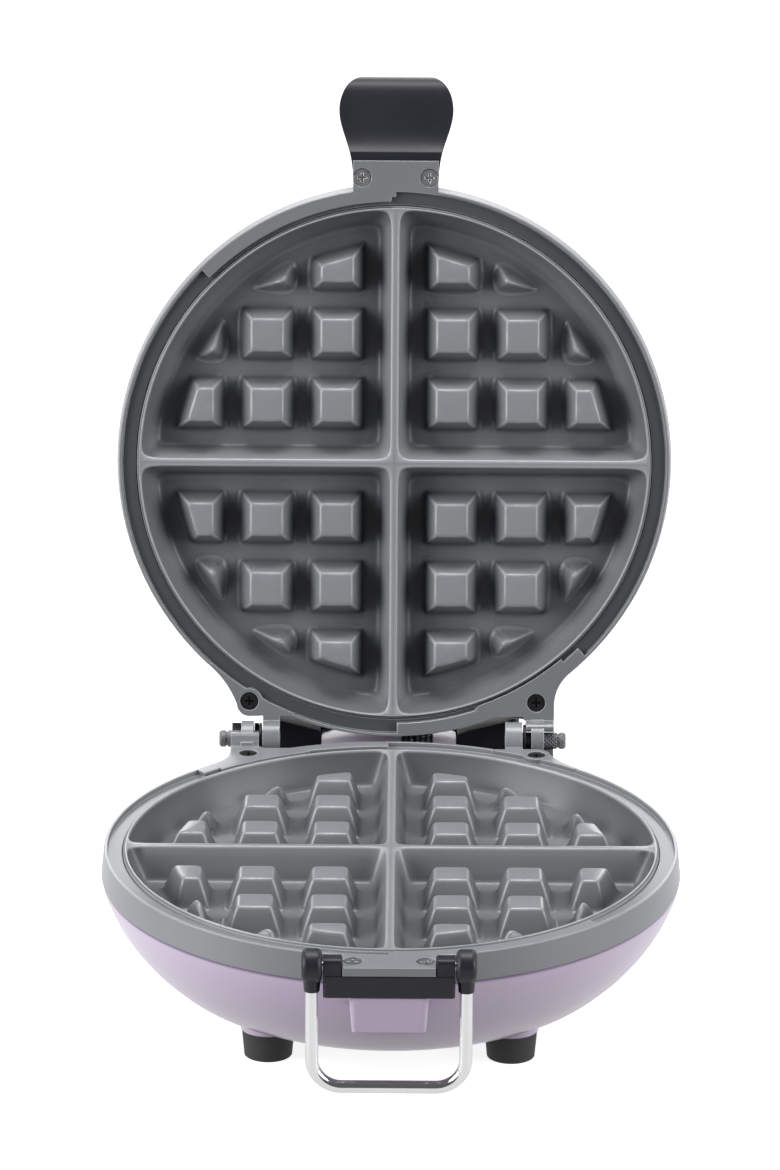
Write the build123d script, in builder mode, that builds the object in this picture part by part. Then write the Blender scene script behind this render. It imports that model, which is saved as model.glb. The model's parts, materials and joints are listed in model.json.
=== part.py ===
from build123d import *
import math
import os

os.makedirs("parts", exist_ok=True)

# Overall sizes, in millimetres. Each half is written with z = 0 at its face and its ring's centre at x = y = 0.
FACE_Z = 62.0            # height of the lower half's face above the table
FACE_GAP = 0.4           # gap between the two faces when the lid is closed
OPEN_DEG = 102.6         # how far the lid stands open at rest
HINGE_Y = 101.3          # hinge axis behind the ring's centre
RING_TOP_R = 100.2       # cast ring, at its face
RING_LOW_R = 101.2       # cast ring, at its lower edge
RING_H = 9.6
LIP_R = 92.9             # cooking plate, outside of its lip
FLOOR_Z = -12.6          # waffle cavity floor below the face
PEG_TOP_Z = -2.0
RIB_TOP_Z = -0.6
PEG_FIRST = 21.0         # first peg from the middle line
PEG_PITCH = 25.4
PEG_TOP_HALF = 5.6
PEG_FOOT_HALF = 9.1
PEG_LIMIT_R = 76.5       # outer pegs are cut off by a slanted plane at this radius
PLATE_FOOT_Z = -16.2
SHELL_WALL = 2.4
SHELL_DEEP = 50.0
PIN_R = 3.05
SCREW_X = 52.4
SCREW_Y = 87.5
TONGUE_HALF = 15.5
TONGUE_END_Y = -110.0
TONGUE_SCREW_X = 12.2
TONGUE_SCREW_Y = -103.9
FRAME_SCREWS = [
    (-SCREW_X, SCREW_Y), (SCREW_X, SCREW_Y), (-TONGUE_SCREW_X, TONGUE_SCREW_Y), (TONGUE_SCREW_X, TONGUE_SCREW_Y),
]
BAIL_Y = -106.5
BAIL_Z = -0.6
BAIL_LONG = 44.0
BAIL_HALF = 25.75
KNUCKLE_HALF = 3.45      # half the width of a knuckle
BAR_END = 22.0           # outer ends of the black bars
BAIL_R = 2.2
ELEMENT_R = 62.0
ELEMENT_TUBE_R = 3.3
ELEMENT_Z = -19.65
DIAL_R = 17.0
STAND_HALF = 46.5

# The table is z = 0, and the origin is under the middle of the whole open machine's outline.
MIDDLE_Y = -40.27
BASE_PLACE = Location((0, MIDDLE_Y, FACE_Z))
AXIS_PLACE = Location((0, MIDDLE_Y + HINGE_Y, FACE_Z + FACE_GAP / 2))
LID_PLACE = (
    AXIS_PLACE
    * Location((0, 0, 0), (-OPEN_DEG, 0, 0))
    * Location((0, 0, 0), (0, 180, 0))
    * Location((0, -HINGE_Y, -FACE_GAP / 2))
)
# Plane across the hinge, seen from the right: sketch x runs to the back, sketch y runs up.
SIDE = Plane(origin=(0, 0, 0), x_dir=(0, 1, 0), z_dir=(1, 0, 0))
HINGE_SIDE = Plane(origin=(0, HINGE_Y, FACE_GAP / 2), x_dir=(0, 1, 0), z_dir=(1, 0, 0))


def upright(angle):
    """Vertical plane through the z axis: sketch x runs outward at this angle, sketch y runs up."""
    a = math.radians(angle)
    return Plane(origin=(0, 0, 0), x_dir=(math.cos(a), math.sin(a), 0), z_dir=(math.sin(a), -math.cos(a), 0))


def rib_way(turn):
    """Direction in which the rib of this quarter turn runs out from the middle."""
    return (math.cos(math.radians(turn)), math.sin(math.radians(turn)), 0)


def keep(part, label):
    """Names a finished piece and writes it to its own file."""
    part.label = label
    export_step(part, "parts/" + label + ".step")
    print(label, round(part.volume / 1000, 2), "cm3", len(part.solids()), "solids")


def placed(part, place):
    """One piece moved into its place in the whole object."""
    with BuildPart() as moved:
        add(part.moved(place))
    return moved.part


def screw_shape(head_r, head_h, shaft_r, length, countersunk):
    """A cross-recess screw with its head's top at z = 0 and its shaft down -z."""
    with BuildPart() as screw:
        with BuildSketch(Plane.XZ):
            with BuildLine():
                if countersunk:
                    Polyline(
                        (0, 0), (head_r, 0), (head_r, -0.5), (shaft_r, -head_h),
                        (shaft_r, -length + 0.8), (shaft_r * 0.6, -length), (0, -length), close=True,
                    )
                else:
                    Polyline(
                        (0, 0), (head_r * 0.55, 0), (head_r * 0.9, -head_h * 0.3), (head_r, -head_h * 0.65),
                        (head_r, -head_h), (shaft_r, -head_h), (shaft_r, -length + 0.8),
                        (shaft_r * 0.6, -length), (0, -length), close=True,
                    )
            make_face()
        revolve(axis=Axis.Z)
        with BuildSketch(Plane.XY):
            Rectangle(head_r * 1.15, head_r * 0.26)
            Rectangle(head_r * 0.26, head_r * 1.15)
        extrude(amount=-head_h * 0.55, taper=12, mode=Mode.SUBTRACT)
    return screw.part


# The eight pegs of one quarter. The outer ones are cut by a plane that leans with the round wall.
slope = math.degrees(math.atan((PEG_FOOT_HALF - PEG_TOP_HALF) / (PEG_TOP_Z - FLOOR_Z)))
drop = math.tan(math.radians(slope)) * 0.5
pegs = []
for gx in range(3):
    for gy in range(3):
        if gx + gy == 4:
            continue
        px = PEG_FIRST + PEG_PITCH * gx
        py = PEG_FIRST + PEG_PITCH * gy
        with BuildPart() as peg:
            with BuildSketch(Plane((px, py, FLOOR_Z - 0.5))):
                Rectangle((PEG_FOOT_HALF + drop) * 2, (PEG_FOOT_HALF + drop) * 2)
            extrude(amount=PEG_TOP_Z - FLOOR_Z + 0.5, taper=slope)
            if gx == 2 or gy == 2:
                away = math.degrees(math.atan2(py, px))
                with BuildSketch(upright(away)):
                    with BuildLine():
                        Polyline(
                            (PEG_LIMIT_R, PEG_TOP_Z + 0.01), (PEG_LIMIT_R + 3.9, FLOOR_Z - 0.6),
                            (PEG_LIMIT_R + 60, FLOOR_Z - 0.6), (PEG_LIMIT_R + 60, 5),
                            (PEG_LIMIT_R - 2.5, 5), close=True,
                        )
                    make_face()
                extrude(amount=40, both=True, mode=Mode.SUBTRACT)
        pegs.append(peg.part)

# Cooking plate: a deep grid of tapered pegs, crossed by two ribs, inside a drafted wall.
with BuildPart() as plate_half:
    with BuildSketch(Plane.XZ):
        with BuildLine():
            Polyline(
                (0, PLATE_FOOT_Z), (90.0, PLATE_FOOT_Z), (92.4, -5.0), (93.6, -5.0), (93.6, -1.2),
                (LIP_R + 0.1, -0.9), (LIP_R, -0.3), (LIP_R - 0.9, -0.3), (86.9, FLOOR_Z), (0, FLOOR_Z), close=True,
            )
        make_face()
    revolve(axis=Axis.Z)
    for turn in (0, 90):
        with BuildSketch(upright(turn)):
            with BuildLine():
                Polyline(
                    (-5.9, FLOOR_Z - 0.5), (-4.9, FLOOR_Z + 0.9), (-1.4, RIB_TOP_Z - 0.5), (-0.9, RIB_TOP_Z),
                    (0.9, RIB_TOP_Z), (1.4, RIB_TOP_Z - 0.5), (4.9, FLOOR_Z + 0.9), (5.9, FLOOR_Z - 0.5),
                    close=True,
                )
            make_face()
        extrude(amount=91.2, both=True)
    # Corner fillets where the ribs meet each other and the round wall.
    with BuildSketch(Plane.XY.offset(FLOOR_Z - 0.5)):
        RegularPolygon(9.5, 4, rotation=45)
    extrude(amount=-FLOOR_Z + 0.5 + RIB_TOP_Z - 0.3, taper=28)
    for turn in (0, 90, 180, 270):
        for side in (-1, 1):
            for level, half, wall, blend in ((FLOOR_Z - 0.5, 5.7, 86.7, 3.1), (RIB_TOP_Z - 0.4, 1.2, 91.6, 4.6)):
                with BuildSketch(Plane(origin=(0, 0, level), x_dir=rib_way(turn), z_dir=(0, 0, 1))):
                    with BuildLine():
                        Line((wall + 0.8, side * (half - 0.8)), (wall - blend, side * (half - 0.8)))
                        Line((wall - blend, side * (half - 0.8)), (wall - blend, side * half))
                        ThreePointArc(
                            (wall - blend, side * half), (wall - 0.293 * blend, side * (half + 0.293 * blend)),
                            (wall, side * (half + blend)),
                        )
                        Line((wall, side * (half + blend)), (wall + 0.8, side * (half + blend)))
                        Line((wall + 0.8, side * (half + blend)), (wall + 0.8, side * (half - 0.8)))
                    make_face()
            loft()
    for turn in (0, 90, 180, 270):
        for peg_part in pegs:
            add(peg_part, rotation=(0, 0, turn))
    # Three bosses under the floor take the screws that hold the plate in its frame.
    with BuildSketch(Plane.XY.offset(PLATE_FOOT_Z)):
        with PolarLocations(84, 3, start_angle=15):
            Circle(5)
    extrude(amount=-1.8)
    with BuildSketch(Plane.XY.offset(-18.0)):
        with PolarLocations(84, 3, start_angle=15):
            Circle(1.55)
    extrude(amount=4.4, mode=Mode.SUBTRACT)
    # Round pad for the heat sensor.
    with BuildSketch(Plane.XY.offset(PLATE_FOOT_Z)):
        Circle(13)
    extrude(amount=-2.2)
plate_shape = plate_half.part

# Cast frame: the ring round the plate, with its hinge lugs behind and its tongue in front.
with BuildPart() as frame_half:
    with BuildSketch(Plane.XZ):
        with BuildLine():
            Polyline(
                (RING_TOP_R - 0.3, 0), (99.1, 0), (98.8, -1.8), (94.0, -1.8), (94.0, -5.0), (92.8, -5.0),
                (92.8, -8.2), (98.4, -8.2), (98.4, -RING_H), (RING_LOW_R, -RING_H), (RING_TOP_R, -0.3), close=True,
            )
        make_face()
    revolve(axis=Axis.Z)
    # Two raised bands that meet the low ledge of the other half.
    for start in (91, 271):
        with BuildSketch(upright(start)):
            with BuildLine():
                Polyline((95.3, -2.2), (95.3, -0.2), (95.5, 0), (99.4, 0), (99.4, -2.2), close=True)
            make_face()
        revolve(axis=Axis.Z, revolution_arc=44)
    # Flat flanges at the two back corners, and the tongue in front.
    with BuildSketch(Plane.XY):
        with BuildLine():
            ThreePointArc((-65.5, 75.8), (-60.6, 81.6), (-59.0, 88.5))
            Polyline(
                (-59.0, 88.5), (-59.0, 94.0), (-47.9, 94.0), (-47.9, 92.6), (-38.0, 92.6), (-30, 90), (-45, 78),
                (-60, 70), (-65.5, 75.8),
            )
        make_face()
        with BuildLine():
            Polyline((67.0, 74.4), (60, 70), (45, 78), (30, 90), (38.0, 92.6), (SCREW_X, 93.0), (SCREW_X + 4.6, 88.6))
            ThreePointArc((SCREW_X + 4.6, 88.6), (60.6, 81.6), (67.0, 74.4))
        make_face()
        with Locations((SCREW_X, SCREW_Y + 0.9)):
            Circle(4.6)
        with Locations((0, (TONGUE_END_Y - 97.0) / 2)):
            Rectangle(TONGUE_HALF * 2, -TONGUE_END_Y - 97.0)
    extrude(amount=-3.0)
    with BuildSketch(Plane.XY.offset(-3.0)):
        with BuildLine():
            Polyline(
                (-63.5, 78.0), (-60.2, 82.0), (-59.0, 87.0), (-59.0, 94.0), (-47.9, 94.0), (-40.0, 92.6), (-30, 93),
                (-45, 84), close=True,
            )
        make_face()
        with BuildLine():
            Polyline(
                (40.0, 92.6), (SCREW_X, 93.0), (SCREW_X + 4.5, 88.0), (59.8, 82.4), (64.5, 77.2), (45, 84), (30, 93),
                close=True,
            )
        make_face()
    extrude(amount=-RING_H + 3.0, taper=3)
    # T-shaped lug on the left: a wide shoulder, then a narrow eye.
    with BuildSketch(SIDE.offset(-58.9)):
        with BuildLine():
            Polyline(
                (92.0, -RING_H), (97.6, -RING_H + 1.5), (97.6, 3.6), (96.8, 4.5), (95.6, 4.5), (94.9, 3.8),
                (94.0, 0), (92.0, 0), close=True,
            )
        make_face()
    extrude(amount=10.2)
    with BuildSketch(HINGE_SIDE.offset(-55.2)):
        Circle(6.6)
        with Locations((-4.0, -2.6)):
            Rectangle(7.0, 7.9)
    extrude(amount=4.5)
    # Plain wide knuckle on the right.
    with BuildSketch(HINGE_SIDE.offset(41.2)):
        Circle(6.7)
        with Locations((-6.5, -3.5)):
            Rectangle(12.6, 6.5)
    extrude(amount=6.2)
    # Nothing of the ring, flanges or lugs fills the plate's own space.
    with BuildSketch(Plane.XY.offset(5)):
        Circle(94.0)
    extrude(amount=-10.0, mode=Mode.SUBTRACT)
    with BuildSketch(Plane.XY.offset(-4.9)):
        Circle(92.8)
    extrude(amount=-8, mode=Mode.SUBTRACT)
    with BuildSketch(Plane.XY.offset(0.5)):
        Circle(98.8)
        Circle(94.0, mode=Mode.SUBTRACT)
        with BuildLine():
            Line((0, 0), (0, 130))
            Line((0, 130), (-130, 130))
            Line((-130, 130), (0, 0))
        make_face(mode=Mode.SUBTRACT)
        with BuildLine():
            Line((0, 0), (0, -130))
            Line((0, -130), (130, -130))
            Line((130, -130), (0, 0))
        make_face(mode=Mode.SUBTRACT)
    extrude(amount=-2.3, mode=Mode.SUBTRACT)
    # Round rims of the hinge screws' bosses, which stand up from the low ledge.
    with BuildSketch(Plane.XY):
        with Locations((-SCREW_X, SCREW_Y), (SCREW_X, SCREW_Y)):
            Circle(4.7)
    extrude(amount=-4.0)
    # Flat back of the ring, which leaves room for the other half's ring to pass.
    with BuildSketch(Plane.XY.offset(1)):
        with Locations((0, 100.3 + 10)):
            Rectangle(60, 20)
    extrude(amount=-12, mode=Mode.SUBTRACT)
    # Pin holes: a tight one in the eye and a running one in the knuckle.
    with BuildSketch(HINGE_SIDE.offset(-70)):
        Circle(PIN_R + 0.01)
    extrude(amount=40, mode=Mode.SUBTRACT)
    with BuildSketch(HINGE_SIDE.offset(30)):
        Circle(PIN_R + 0.05)
    extrude(amount=40, mode=Mode.SUBTRACT)
    # Countersunk holes for the hinge screws and the tongue's.
    for spot_x, spot_y in FRAME_SCREWS:
        with BuildSketch(Plane(origin=(spot_x, spot_y, 0), x_dir=(1, 0, 0), z_dir=(0, -1, 0))):
            with BuildLine():
                Polyline((0, 1), (3.35, 1), (3.35, -0.75), (1.65, -2.5), (1.65, -12), (0, -12), close=True)
            make_face()
        revolve(axis=Axis((spot_x, spot_y, 0), (0, 0, 1)), mode=Mode.SUBTRACT)
    # Three inward feet that the plate is screwed to from below.
    for turn in (15, 135, 255):
        with BuildSketch(upright(turn)):
            with BuildLine():
                Polyline(
                    (93.2, -6.5), (97.0, -6.5), (93.4, -20.5), (77.5, -20.5), (77.5, -18.1), (90.6, -18.1), close=True,
                )
            make_face()
        extrude(amount=7, both=True)
    with BuildSketch(Plane.XY.offset(-17)):
        with PolarLocations(84, 3, start_angle=15):
            Circle(2.1)
    extrude(amount=-5, mode=Mode.SUBTRACT)
frame_shape = frame_half.part


# Steel pin in the eye of each half, with a ring groove near its outer end.
with BuildPart() as pin_half:
    with BuildSketch(HINGE_SIDE.offset(-63.3)):
        Circle(PIN_R)
    extrude(amount=22.3)
    chamfer(pin_half.edges().filter_by(GeomType.CIRCLE), 0.7)
    with BuildSketch(HINGE_SIDE.offset(-60.9)):
        Circle(PIN_R + 1)
        Circle(PIN_R - 0.45, mode=Mode.SUBTRACT)
    extrude(amount=0.8, mode=Mode.SUBTRACT)
pin_shape = pin_half.part

# Black clip that wraps the pin behind and below, on both sides of the eye, with a collar at its inner end.
with BuildPart() as clip_half:
    with BuildSketch(HINGE_SIDE.offset(-58.7)):
        with BuildLine():
            Line((3.3 * math.cos(math.radians(-100)), 3.3 * math.sin(math.radians(-100))),
                 (6.5 * math.cos(math.radians(-100)), 6.5 * math.sin(math.radians(-100))))
            CenterArc((0, 0), 6.5, -100, 142)
            Line((6.5 * math.cos(math.radians(42)), 6.5 * math.sin(math.radians(42))),
                 (3.3 * math.cos(math.radians(42)), 3.3 * math.sin(math.radians(42))))
            CenterArc((0, 0), 3.3, -100, 142)
        make_face()
    extrude(amount=9.8)
    with BuildSketch(HINGE_SIDE.offset(-55.4)):
        Circle(6.9)
    extrude(amount=4.9, mode=Mode.SUBTRACT)
    with BuildSketch(HINGE_SIDE.offset(-58.7)):
        with BuildLine():
            Line((6.3 * math.cos(math.radians(-70)), 6.3 * math.sin(math.radians(-70))),
                 (7.9 * math.cos(math.radians(-70)), 7.9 * math.sin(math.radians(-70))))
            CenterArc((0, 0), 7.9, -70, 40)
            Line((7.9 * math.cos(math.radians(-30)), 7.9 * math.sin(math.radians(-30))),
                 (6.3 * math.cos(math.radians(-30)), 6.3 * math.sin(math.radians(-30))))
            CenterArc((0, 0), 6.3, -70, 40)
        make_face()
    extrude(amount=9.8)
    with BuildSketch(HINGE_SIDE.offset(-55.4)):
        Circle(6.9)
    extrude(amount=4.9, mode=Mode.SUBTRACT)
    with BuildSketch(HINGE_SIDE.offset(-48.92)):
        with BuildLine():
            Line((3.3 * math.cos(math.radians(-60)), 3.3 * math.sin(math.radians(-60))),
                 (5.8 * math.cos(math.radians(-60)), 5.8 * math.sin(math.radians(-60))))
            CenterArc((0, 0), 5.8, -60, 100)
            Line((5.8 * math.cos(math.radians(40)), 5.8 * math.sin(math.radians(40))),
                 (3.3 * math.cos(math.radians(40)), 3.3 * math.sin(math.radians(40))))
            CenterArc((0, 0), 3.3, -60, 100)
        make_face()
    extrude(amount=0.5)
    with BuildSketch(HINGE_SIDE.offset(-48.62)):
        Circle(5.8)
        Circle(3.12, mode=Mode.SUBTRACT)
    extrude(amount=0.86)
clip_shape = clip_half.part

# Round bowl that both housings start from, open at the face.
with BuildPart() as bowl:
    with BuildSketch(Plane.XZ):
        with BuildLine():
            Spline(
                (101.0, -RING_H - 0.1), (99.8, -14.7), (97.7, -19.7), (95.1, -24.7), (91.7, -29.7), (87.7, -34.7),
                (82.7, -39.7), (76.0, -44.9), (67.0, -48.9), (60.0, -SHELL_DEEP),
                tangents=((-0.06, -1), (-1, -0.06)),
            )
            Line((60.0, -SHELL_DEEP), (0, -SHELL_DEEP))
            Line((0, -SHELL_DEEP), (0, -RING_H - 0.1))
            Line((0, -RING_H - 0.1), (101.0, -RING_H - 0.1))
        make_face()
    revolve(axis=Axis.Z)
    # Ears behind and in front that the frame's screws go down into.
    for sx in (-1, 1):
        with BuildSketch(Plane.XY.offset(-RING_H - 0.1)):
            with Locations((sx * SCREW_X, SCREW_Y)):
                Circle(5.2)
            with BuildLine():
                Polyline((sx * 38, 78), (sx * 47.5, 90), (sx * SCREW_X, 87), (sx * 57.5, 82), (sx * 50, 66), close=True)
            make_face()
        extrude(amount=-15, taper=7)
    with BuildSketch(Plane.XY.offset(-11.1)):
        with Locations((0, -102.3)):
            RectangleRounded(27, 14.4, 2.5)
        with Locations((0, -93)):
            Rectangle(24, 14)
    extrude(amount=-13, taper=5)
    with BuildSketch(Plane.XZ):
        with BuildLine():
            Line((0, -SHELL_DEEP + SHELL_WALL), (59.6, -SHELL_DEEP + SHELL_WALL))
            Spline(
                (59.6, -SHELL_DEEP + SHELL_WALL), (66.0, -46.6), (74.6, -42.8), (81.0, -37.9), (85.8, -33.2),
                (89.7, -28.4), (92.8, -23.7), (95.4, -18.9), (97.4, -14.2), (98.6, -RING_H - 0.1),
                tangents=((1, 0.06), (0.06, 1)),
            )
            Line((98.6, -RING_H - 0.1), (0, -RING_H - 0.1))
            Line((0, -RING_H - 0.1), (0, -SHELL_DEEP + SHELL_WALL))
        make_face()
    revolve(axis=Axis.Z, mode=Mode.SUBTRACT)
    for sx in (-1, 1):
        with BuildSketch(Plane.XY.offset(-RING_H)):
            with Locations((sx * SCREW_X, SCREW_Y)):
                Circle(1.55)
        extrude(amount=-10, mode=Mode.SUBTRACT)
    with BuildSketch(Plane.XY.offset(-11)):
        with Locations((-TONGUE_SCREW_X, TONGUE_SCREW_Y), (TONGUE_SCREW_X, TONGUE_SCREW_Y)):
            Circle(1.55)
    extrude(amount=-7, mode=Mode.SUBTRACT)
bowl_shape = bowl.part

# Lower housing: the bowl, a hollow neck behind it, foot sockets and air slots.
with BuildPart() as base_shell:
    add(bowl_shape)
    with BuildSketch(Plane.XY.offset(-2.8)):
        with Locations((-1.4, 111.4)):
            RectangleRounded(49.4, 17.4, 1.5)
    extrude(amount=-31.2)
    with BuildSketch(Plane.XY.offset(-10.5)):
        with Locations((-1.4, 99.4)):
            Rectangle(49.4, 11.2)
    extrude(amount=-23.5)
    # Inside of the neck, open to the bowl.
    with BuildSketch(Plane.XY.offset(-5.2)):
        with Locations((-1.4, 110.9)):
            Rectangle(44.6, 13.6)
    extrude(amount=-26.4, mode=Mode.SUBTRACT)
    with BuildSketch(Plane.XY.offset(-12.5)):
        with Locations((-1.4, 97)):
            Rectangle(44.6, 30)
    extrude(amount=-19.1, mode=Mode.SUBTRACT)
    # Slot in the neck's roof where the wire sleeve comes out.
    with BuildSketch(Plane.XY.offset(-2)):
        with Locations((9, 110.6)):
            Rectangle(11.4, 15.8)
    extrude(amount=-4.2, mode=Mode.SUBTRACT)
    with BuildSketch(SIDE.offset(3.3)):
        with BuildLine():
            Polyline((102.0, -2), (107.2, -2), (107.2, -7), (105.4, -13), (102.0, -13), close=True)
        make_face()
    extrude(amount=11.4, mode=Mode.SUBTRACT)
    # Cord hole and screw holes in the neck's back wall.
    with BuildSketch(Plane.XZ.offset(-125)):
        with Locations((-1.4, -18)):
            Circle(5.3)
        with Locations((-16.4, -18), (13.6, -18)):
            Circle(1.6)
    extrude(amount=8, mode=Mode.SUBTRACT)
    # Foot sockets under the bowl.
    with BuildSketch(Plane.XY.offset(-SHELL_DEEP + 0.6)):
        with Locations((-42, -40), (42, -40), (-42, 40), (42, 40)):
            Circle(9.6)
    extrude(amount=-2.6)
    with BuildSketch(Plane.XY.offset(-SHELL_DEEP - 2.6)):
        with Locations((-42, -40), (42, -40), (-42, 40), (42, 40)):
            Circle(2.1)
    extrude(amount=6, mode=Mode.SUBTRACT)
    # Post under the terminal block.
    with BuildSketch(Plane.XY.offset(-37.1)):
        with Locations((0, 72)):
            Rectangle(14, 5)
    extrude(amount=-9)
    # Air slots in the bottom.
    with BuildSketch(Plane.XY.offset(-SHELL_DEEP - 1)):
        for row in range(-3, 4):
            with Locations((row * 6.5, 0)):
                SlotOverall(44 - abs(row) * 6, 2.6, rotation=90)
    extrude(amount=SHELL_WALL + 2, mode=Mode.SUBTRACT)

# Upper housing: the bowl with holes for the dial's spindle, the lamps and the wire sleeve.
with BuildPart() as lid_shell:
    add(bowl_shape)
    # Round seat for the dial.
    with BuildSketch(Plane.XY.offset(-SHELL_DEEP + 0.5)):
        Circle(DIAL_R + 6)
    extrude(amount=-1.7, taper=25)
    with BuildSketch(Plane.XY.offset(-SHELL_DEEP - 3)):
        Circle(3.8)
        with Locations((-9.5, -34), (9.5, -34)):
            Circle(4.1)
    extrude(amount=8, mode=Mode.SUBTRACT)
    # Vertical air slots round the back of the dome.
    with BuildSketch(Plane.XY.offset(-SHELL_DEEP - 1)):
        for row in range(-4, 5):
            with Locations((row * 6.0, 42)):
                SlotOverall(14 - abs(row), 2.4, rotation=90)
    extrude(amount=SHELL_WALL + 2, mode=Mode.SUBTRACT)
    # The sleeve goes in low on the back, which is where the lid rests over the neck.
    with BuildSketch(Plane.XZ.offset(-106)):
        with Locations((-9, -15.6)):
            Rectangle(11.4, 5.0)
    extrude(amount=16, mode=Mode.SUBTRACT)
    # Flat back, for clearance over the neck.
    with BuildSketch(Plane.XY.offset(1)):
        with Locations((0, 100.3 + 10)):
            Rectangle(60, 20)
    extrude(amount=-30, mode=Mode.SUBTRACT)

# Sheathed heater: an open ring whose two ends turn down to the wiring.
with BuildPart() as heater:
    with BuildLine() as heater_line:
        CenterArc((0, 0, ELEMENT_Z), ELEMENT_R, 107, 326)
        for angle, way in ((107, -1), (73, 1)):
            a = math.radians(angle)
            spot = Vector(ELEMENT_R * math.cos(a), ELEMENT_R * math.sin(a), ELEMENT_Z)
            ahead = Vector(way * -math.sin(a), way * math.cos(a), 0)
            down = Vector(0, 0, -1)
            half_way = spot + ahead * (8 * math.sin(math.pi / 4)) + down * (8 * (1 - math.cos(math.pi / 4)))
            low = spot + ahead * 8 + down * 8
            ThreePointArc(spot, half_way, low)
            Line(low, low + down * 6)
    heater_wire = heater_line.wire()
    with BuildSketch(Plane(origin=heater_wire @ 0, z_dir=heater_wire % 0)):
        Circle(ELEMENT_TUBE_R)
    sweep(path=heater_wire)
    with BuildSketch(Plane.XY.offset(ELEMENT_Z - 14)):
        with Locations((-10.45, 61.63), (10.45, 61.63)):
            Circle(1.6)
    extrude(amount=-5)
heater_shape = heater.part

# Bright dish under the heater.
with BuildPart() as reflector_half:
    with BuildSketch(Plane.XZ):
        with BuildLine():
            Polyline(
                (20, -26.4), (20, -27.2), (70.4, -27.2), (76.6, -21.5), (88.5, -21.5), (88.5, -20.7), (76.2, -20.7),
                (70.0, -26.4), close=True,
            )
        make_face()
    revolve(axis=Axis.Z)
    with BuildSketch(Plane.XY.offset(-20)):
        with PolarLocations(84, 3, start_angle=15):
            Circle(2.2)
        with Locations((-10.45, 61.63), (10.45, 61.63)):
            Circle(4.6)
    extrude(amount=-8, mode=Mode.SUBTRACT)
reflector_shape = reflector_half.part

# Screws that hold the plate, the frame's feet and the dish together, heads down.
pan_screw = screw_shape(3.6, 2.4, 1.5, 9.4, False)
with BuildPart() as plate_screws_half:
    with PolarLocations(84, 3, start_angle=15):
        add(pan_screw.moved(Location((0, 0, -23.95), (180, 0, 0))))
plate_screws_shape = plate_screws_half.part

flat_screw = screw_shape(3.05, 2.3, 1.5, 14.0, True)
with BuildPart() as hinge_screws_half:
    with Locations((-SCREW_X, SCREW_Y, -0.35), (SCREW_X, SCREW_Y, -0.35)):
        add(flat_screw)
with BuildPart() as tongue_screws_half:
    with Locations((-TONGUE_SCREW_X, TONGUE_SCREW_Y, -0.35), (TONGUE_SCREW_X, TONGUE_SCREW_Y, -0.35)):
        add(flat_screw)

# Black block under the lower tongue, with a bar on each side of it for the bail.
with BuildPart() as bail_block:
    with BuildSketch(Plane.XY.offset(-3.2)):
        with Locations((0, -105.8)):
            RectangleRounded(BAR_END * 2, 8.2, 1.2)
    extrude(amount=-7.7)
    for sx in (-1, 1):
        with BuildSketch(SIDE.offset((BAR_END + 15.9) / 2 * sx)):
            with Locations((BAIL_Y, BAIL_Z)):
                RectangleRounded(6.4, 6.4, 1.6)
            with Locations((BAIL_Y, BAIL_Z - 3.2)):
                Rectangle(6.4, 4.0)
        extrude(amount=(BAR_END - 15.9) / 2, both=True)
    with BuildSketch(SIDE.offset(-30)):
        with Locations((BAIL_Y, BAIL_Z)):
            Circle(1.61)
    extrude(amount=60, mode=Mode.SUBTRACT)
    with BuildSketch(Plane.XY.offset(-2)):
        with Locations((-TONGUE_SCREW_X, TONGUE_SCREW_Y), (TONGUE_SCREW_X, TONGUE_SCREW_Y)):
            Circle(1.65)
    extrude(amount=-12, mode=Mode.SUBTRACT)

with BuildPart() as bail_pins:
    for sx in (-1, 1):
        with BuildSketch(SIDE.offset(16.4 * sx)):
            with Locations((BAIL_Y, BAIL_Z)):
                Circle(1.6)
        extrude(amount=(BAIL_HALF + KNUCKLE_HALF - 16.8) * sx)

# Round black knuckles at the ends of the bail, and the bail's steel wire hanging from them.
with BuildPart() as bail_knuckles:
    for sx in (-1, 1):
        with BuildSketch(SIDE.offset(BAIL_HALF * sx)):
            with Locations((BAIL_Y, BAIL_Z)):
                Circle(5.7)
        extrude(amount=KNUCKLE_HALF, both=True)
    fillet(bail_knuckles.edges().filter_by(GeomType.CIRCLE), 1.9)
    for sx in (-1, 1):
        with BuildSketch(Plane.XY.offset(BAIL_Z - 2.6)):
            with Locations((BAIL_HALF * sx, BAIL_Y)):
                Circle(3.1)
        extrude(amount=-6.4, taper=4)
    with BuildSketch(SIDE.offset(-40)):
        with Locations((BAIL_Y, BAIL_Z)):
            Circle(1.66)
    extrude(amount=80, mode=Mode.SUBTRACT)
    with BuildSketch(Plane.XY.offset(BAIL_Z - 3.0)):
        with Locations((-BAIL_HALF, BAIL_Y), (BAIL_HALF, BAIL_Y)):
            Circle(BAIL_R)
    extrude(amount=-8, mode=Mode.SUBTRACT)
with BuildPart() as bail:
    with BuildLine() as bail_line:
        FilletPolyline(
            (-BAIL_HALF, BAIL_Y, BAIL_Z - 3.1), (-BAIL_HALF, BAIL_Y, BAIL_Z - BAIL_LONG),
            (BAIL_HALF, BAIL_Y, BAIL_Z - BAIL_LONG), (BAIL_HALF, BAIL_Y, BAIL_Z - 3.1), radius=10,
        )
    bail_wire = bail_line.wire()
    with BuildSketch(Plane(origin=bail_wire @ 0, z_dir=bail_wire % 0)):
        Circle(BAIL_R)
    sweep(path=bail_wire)

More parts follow.
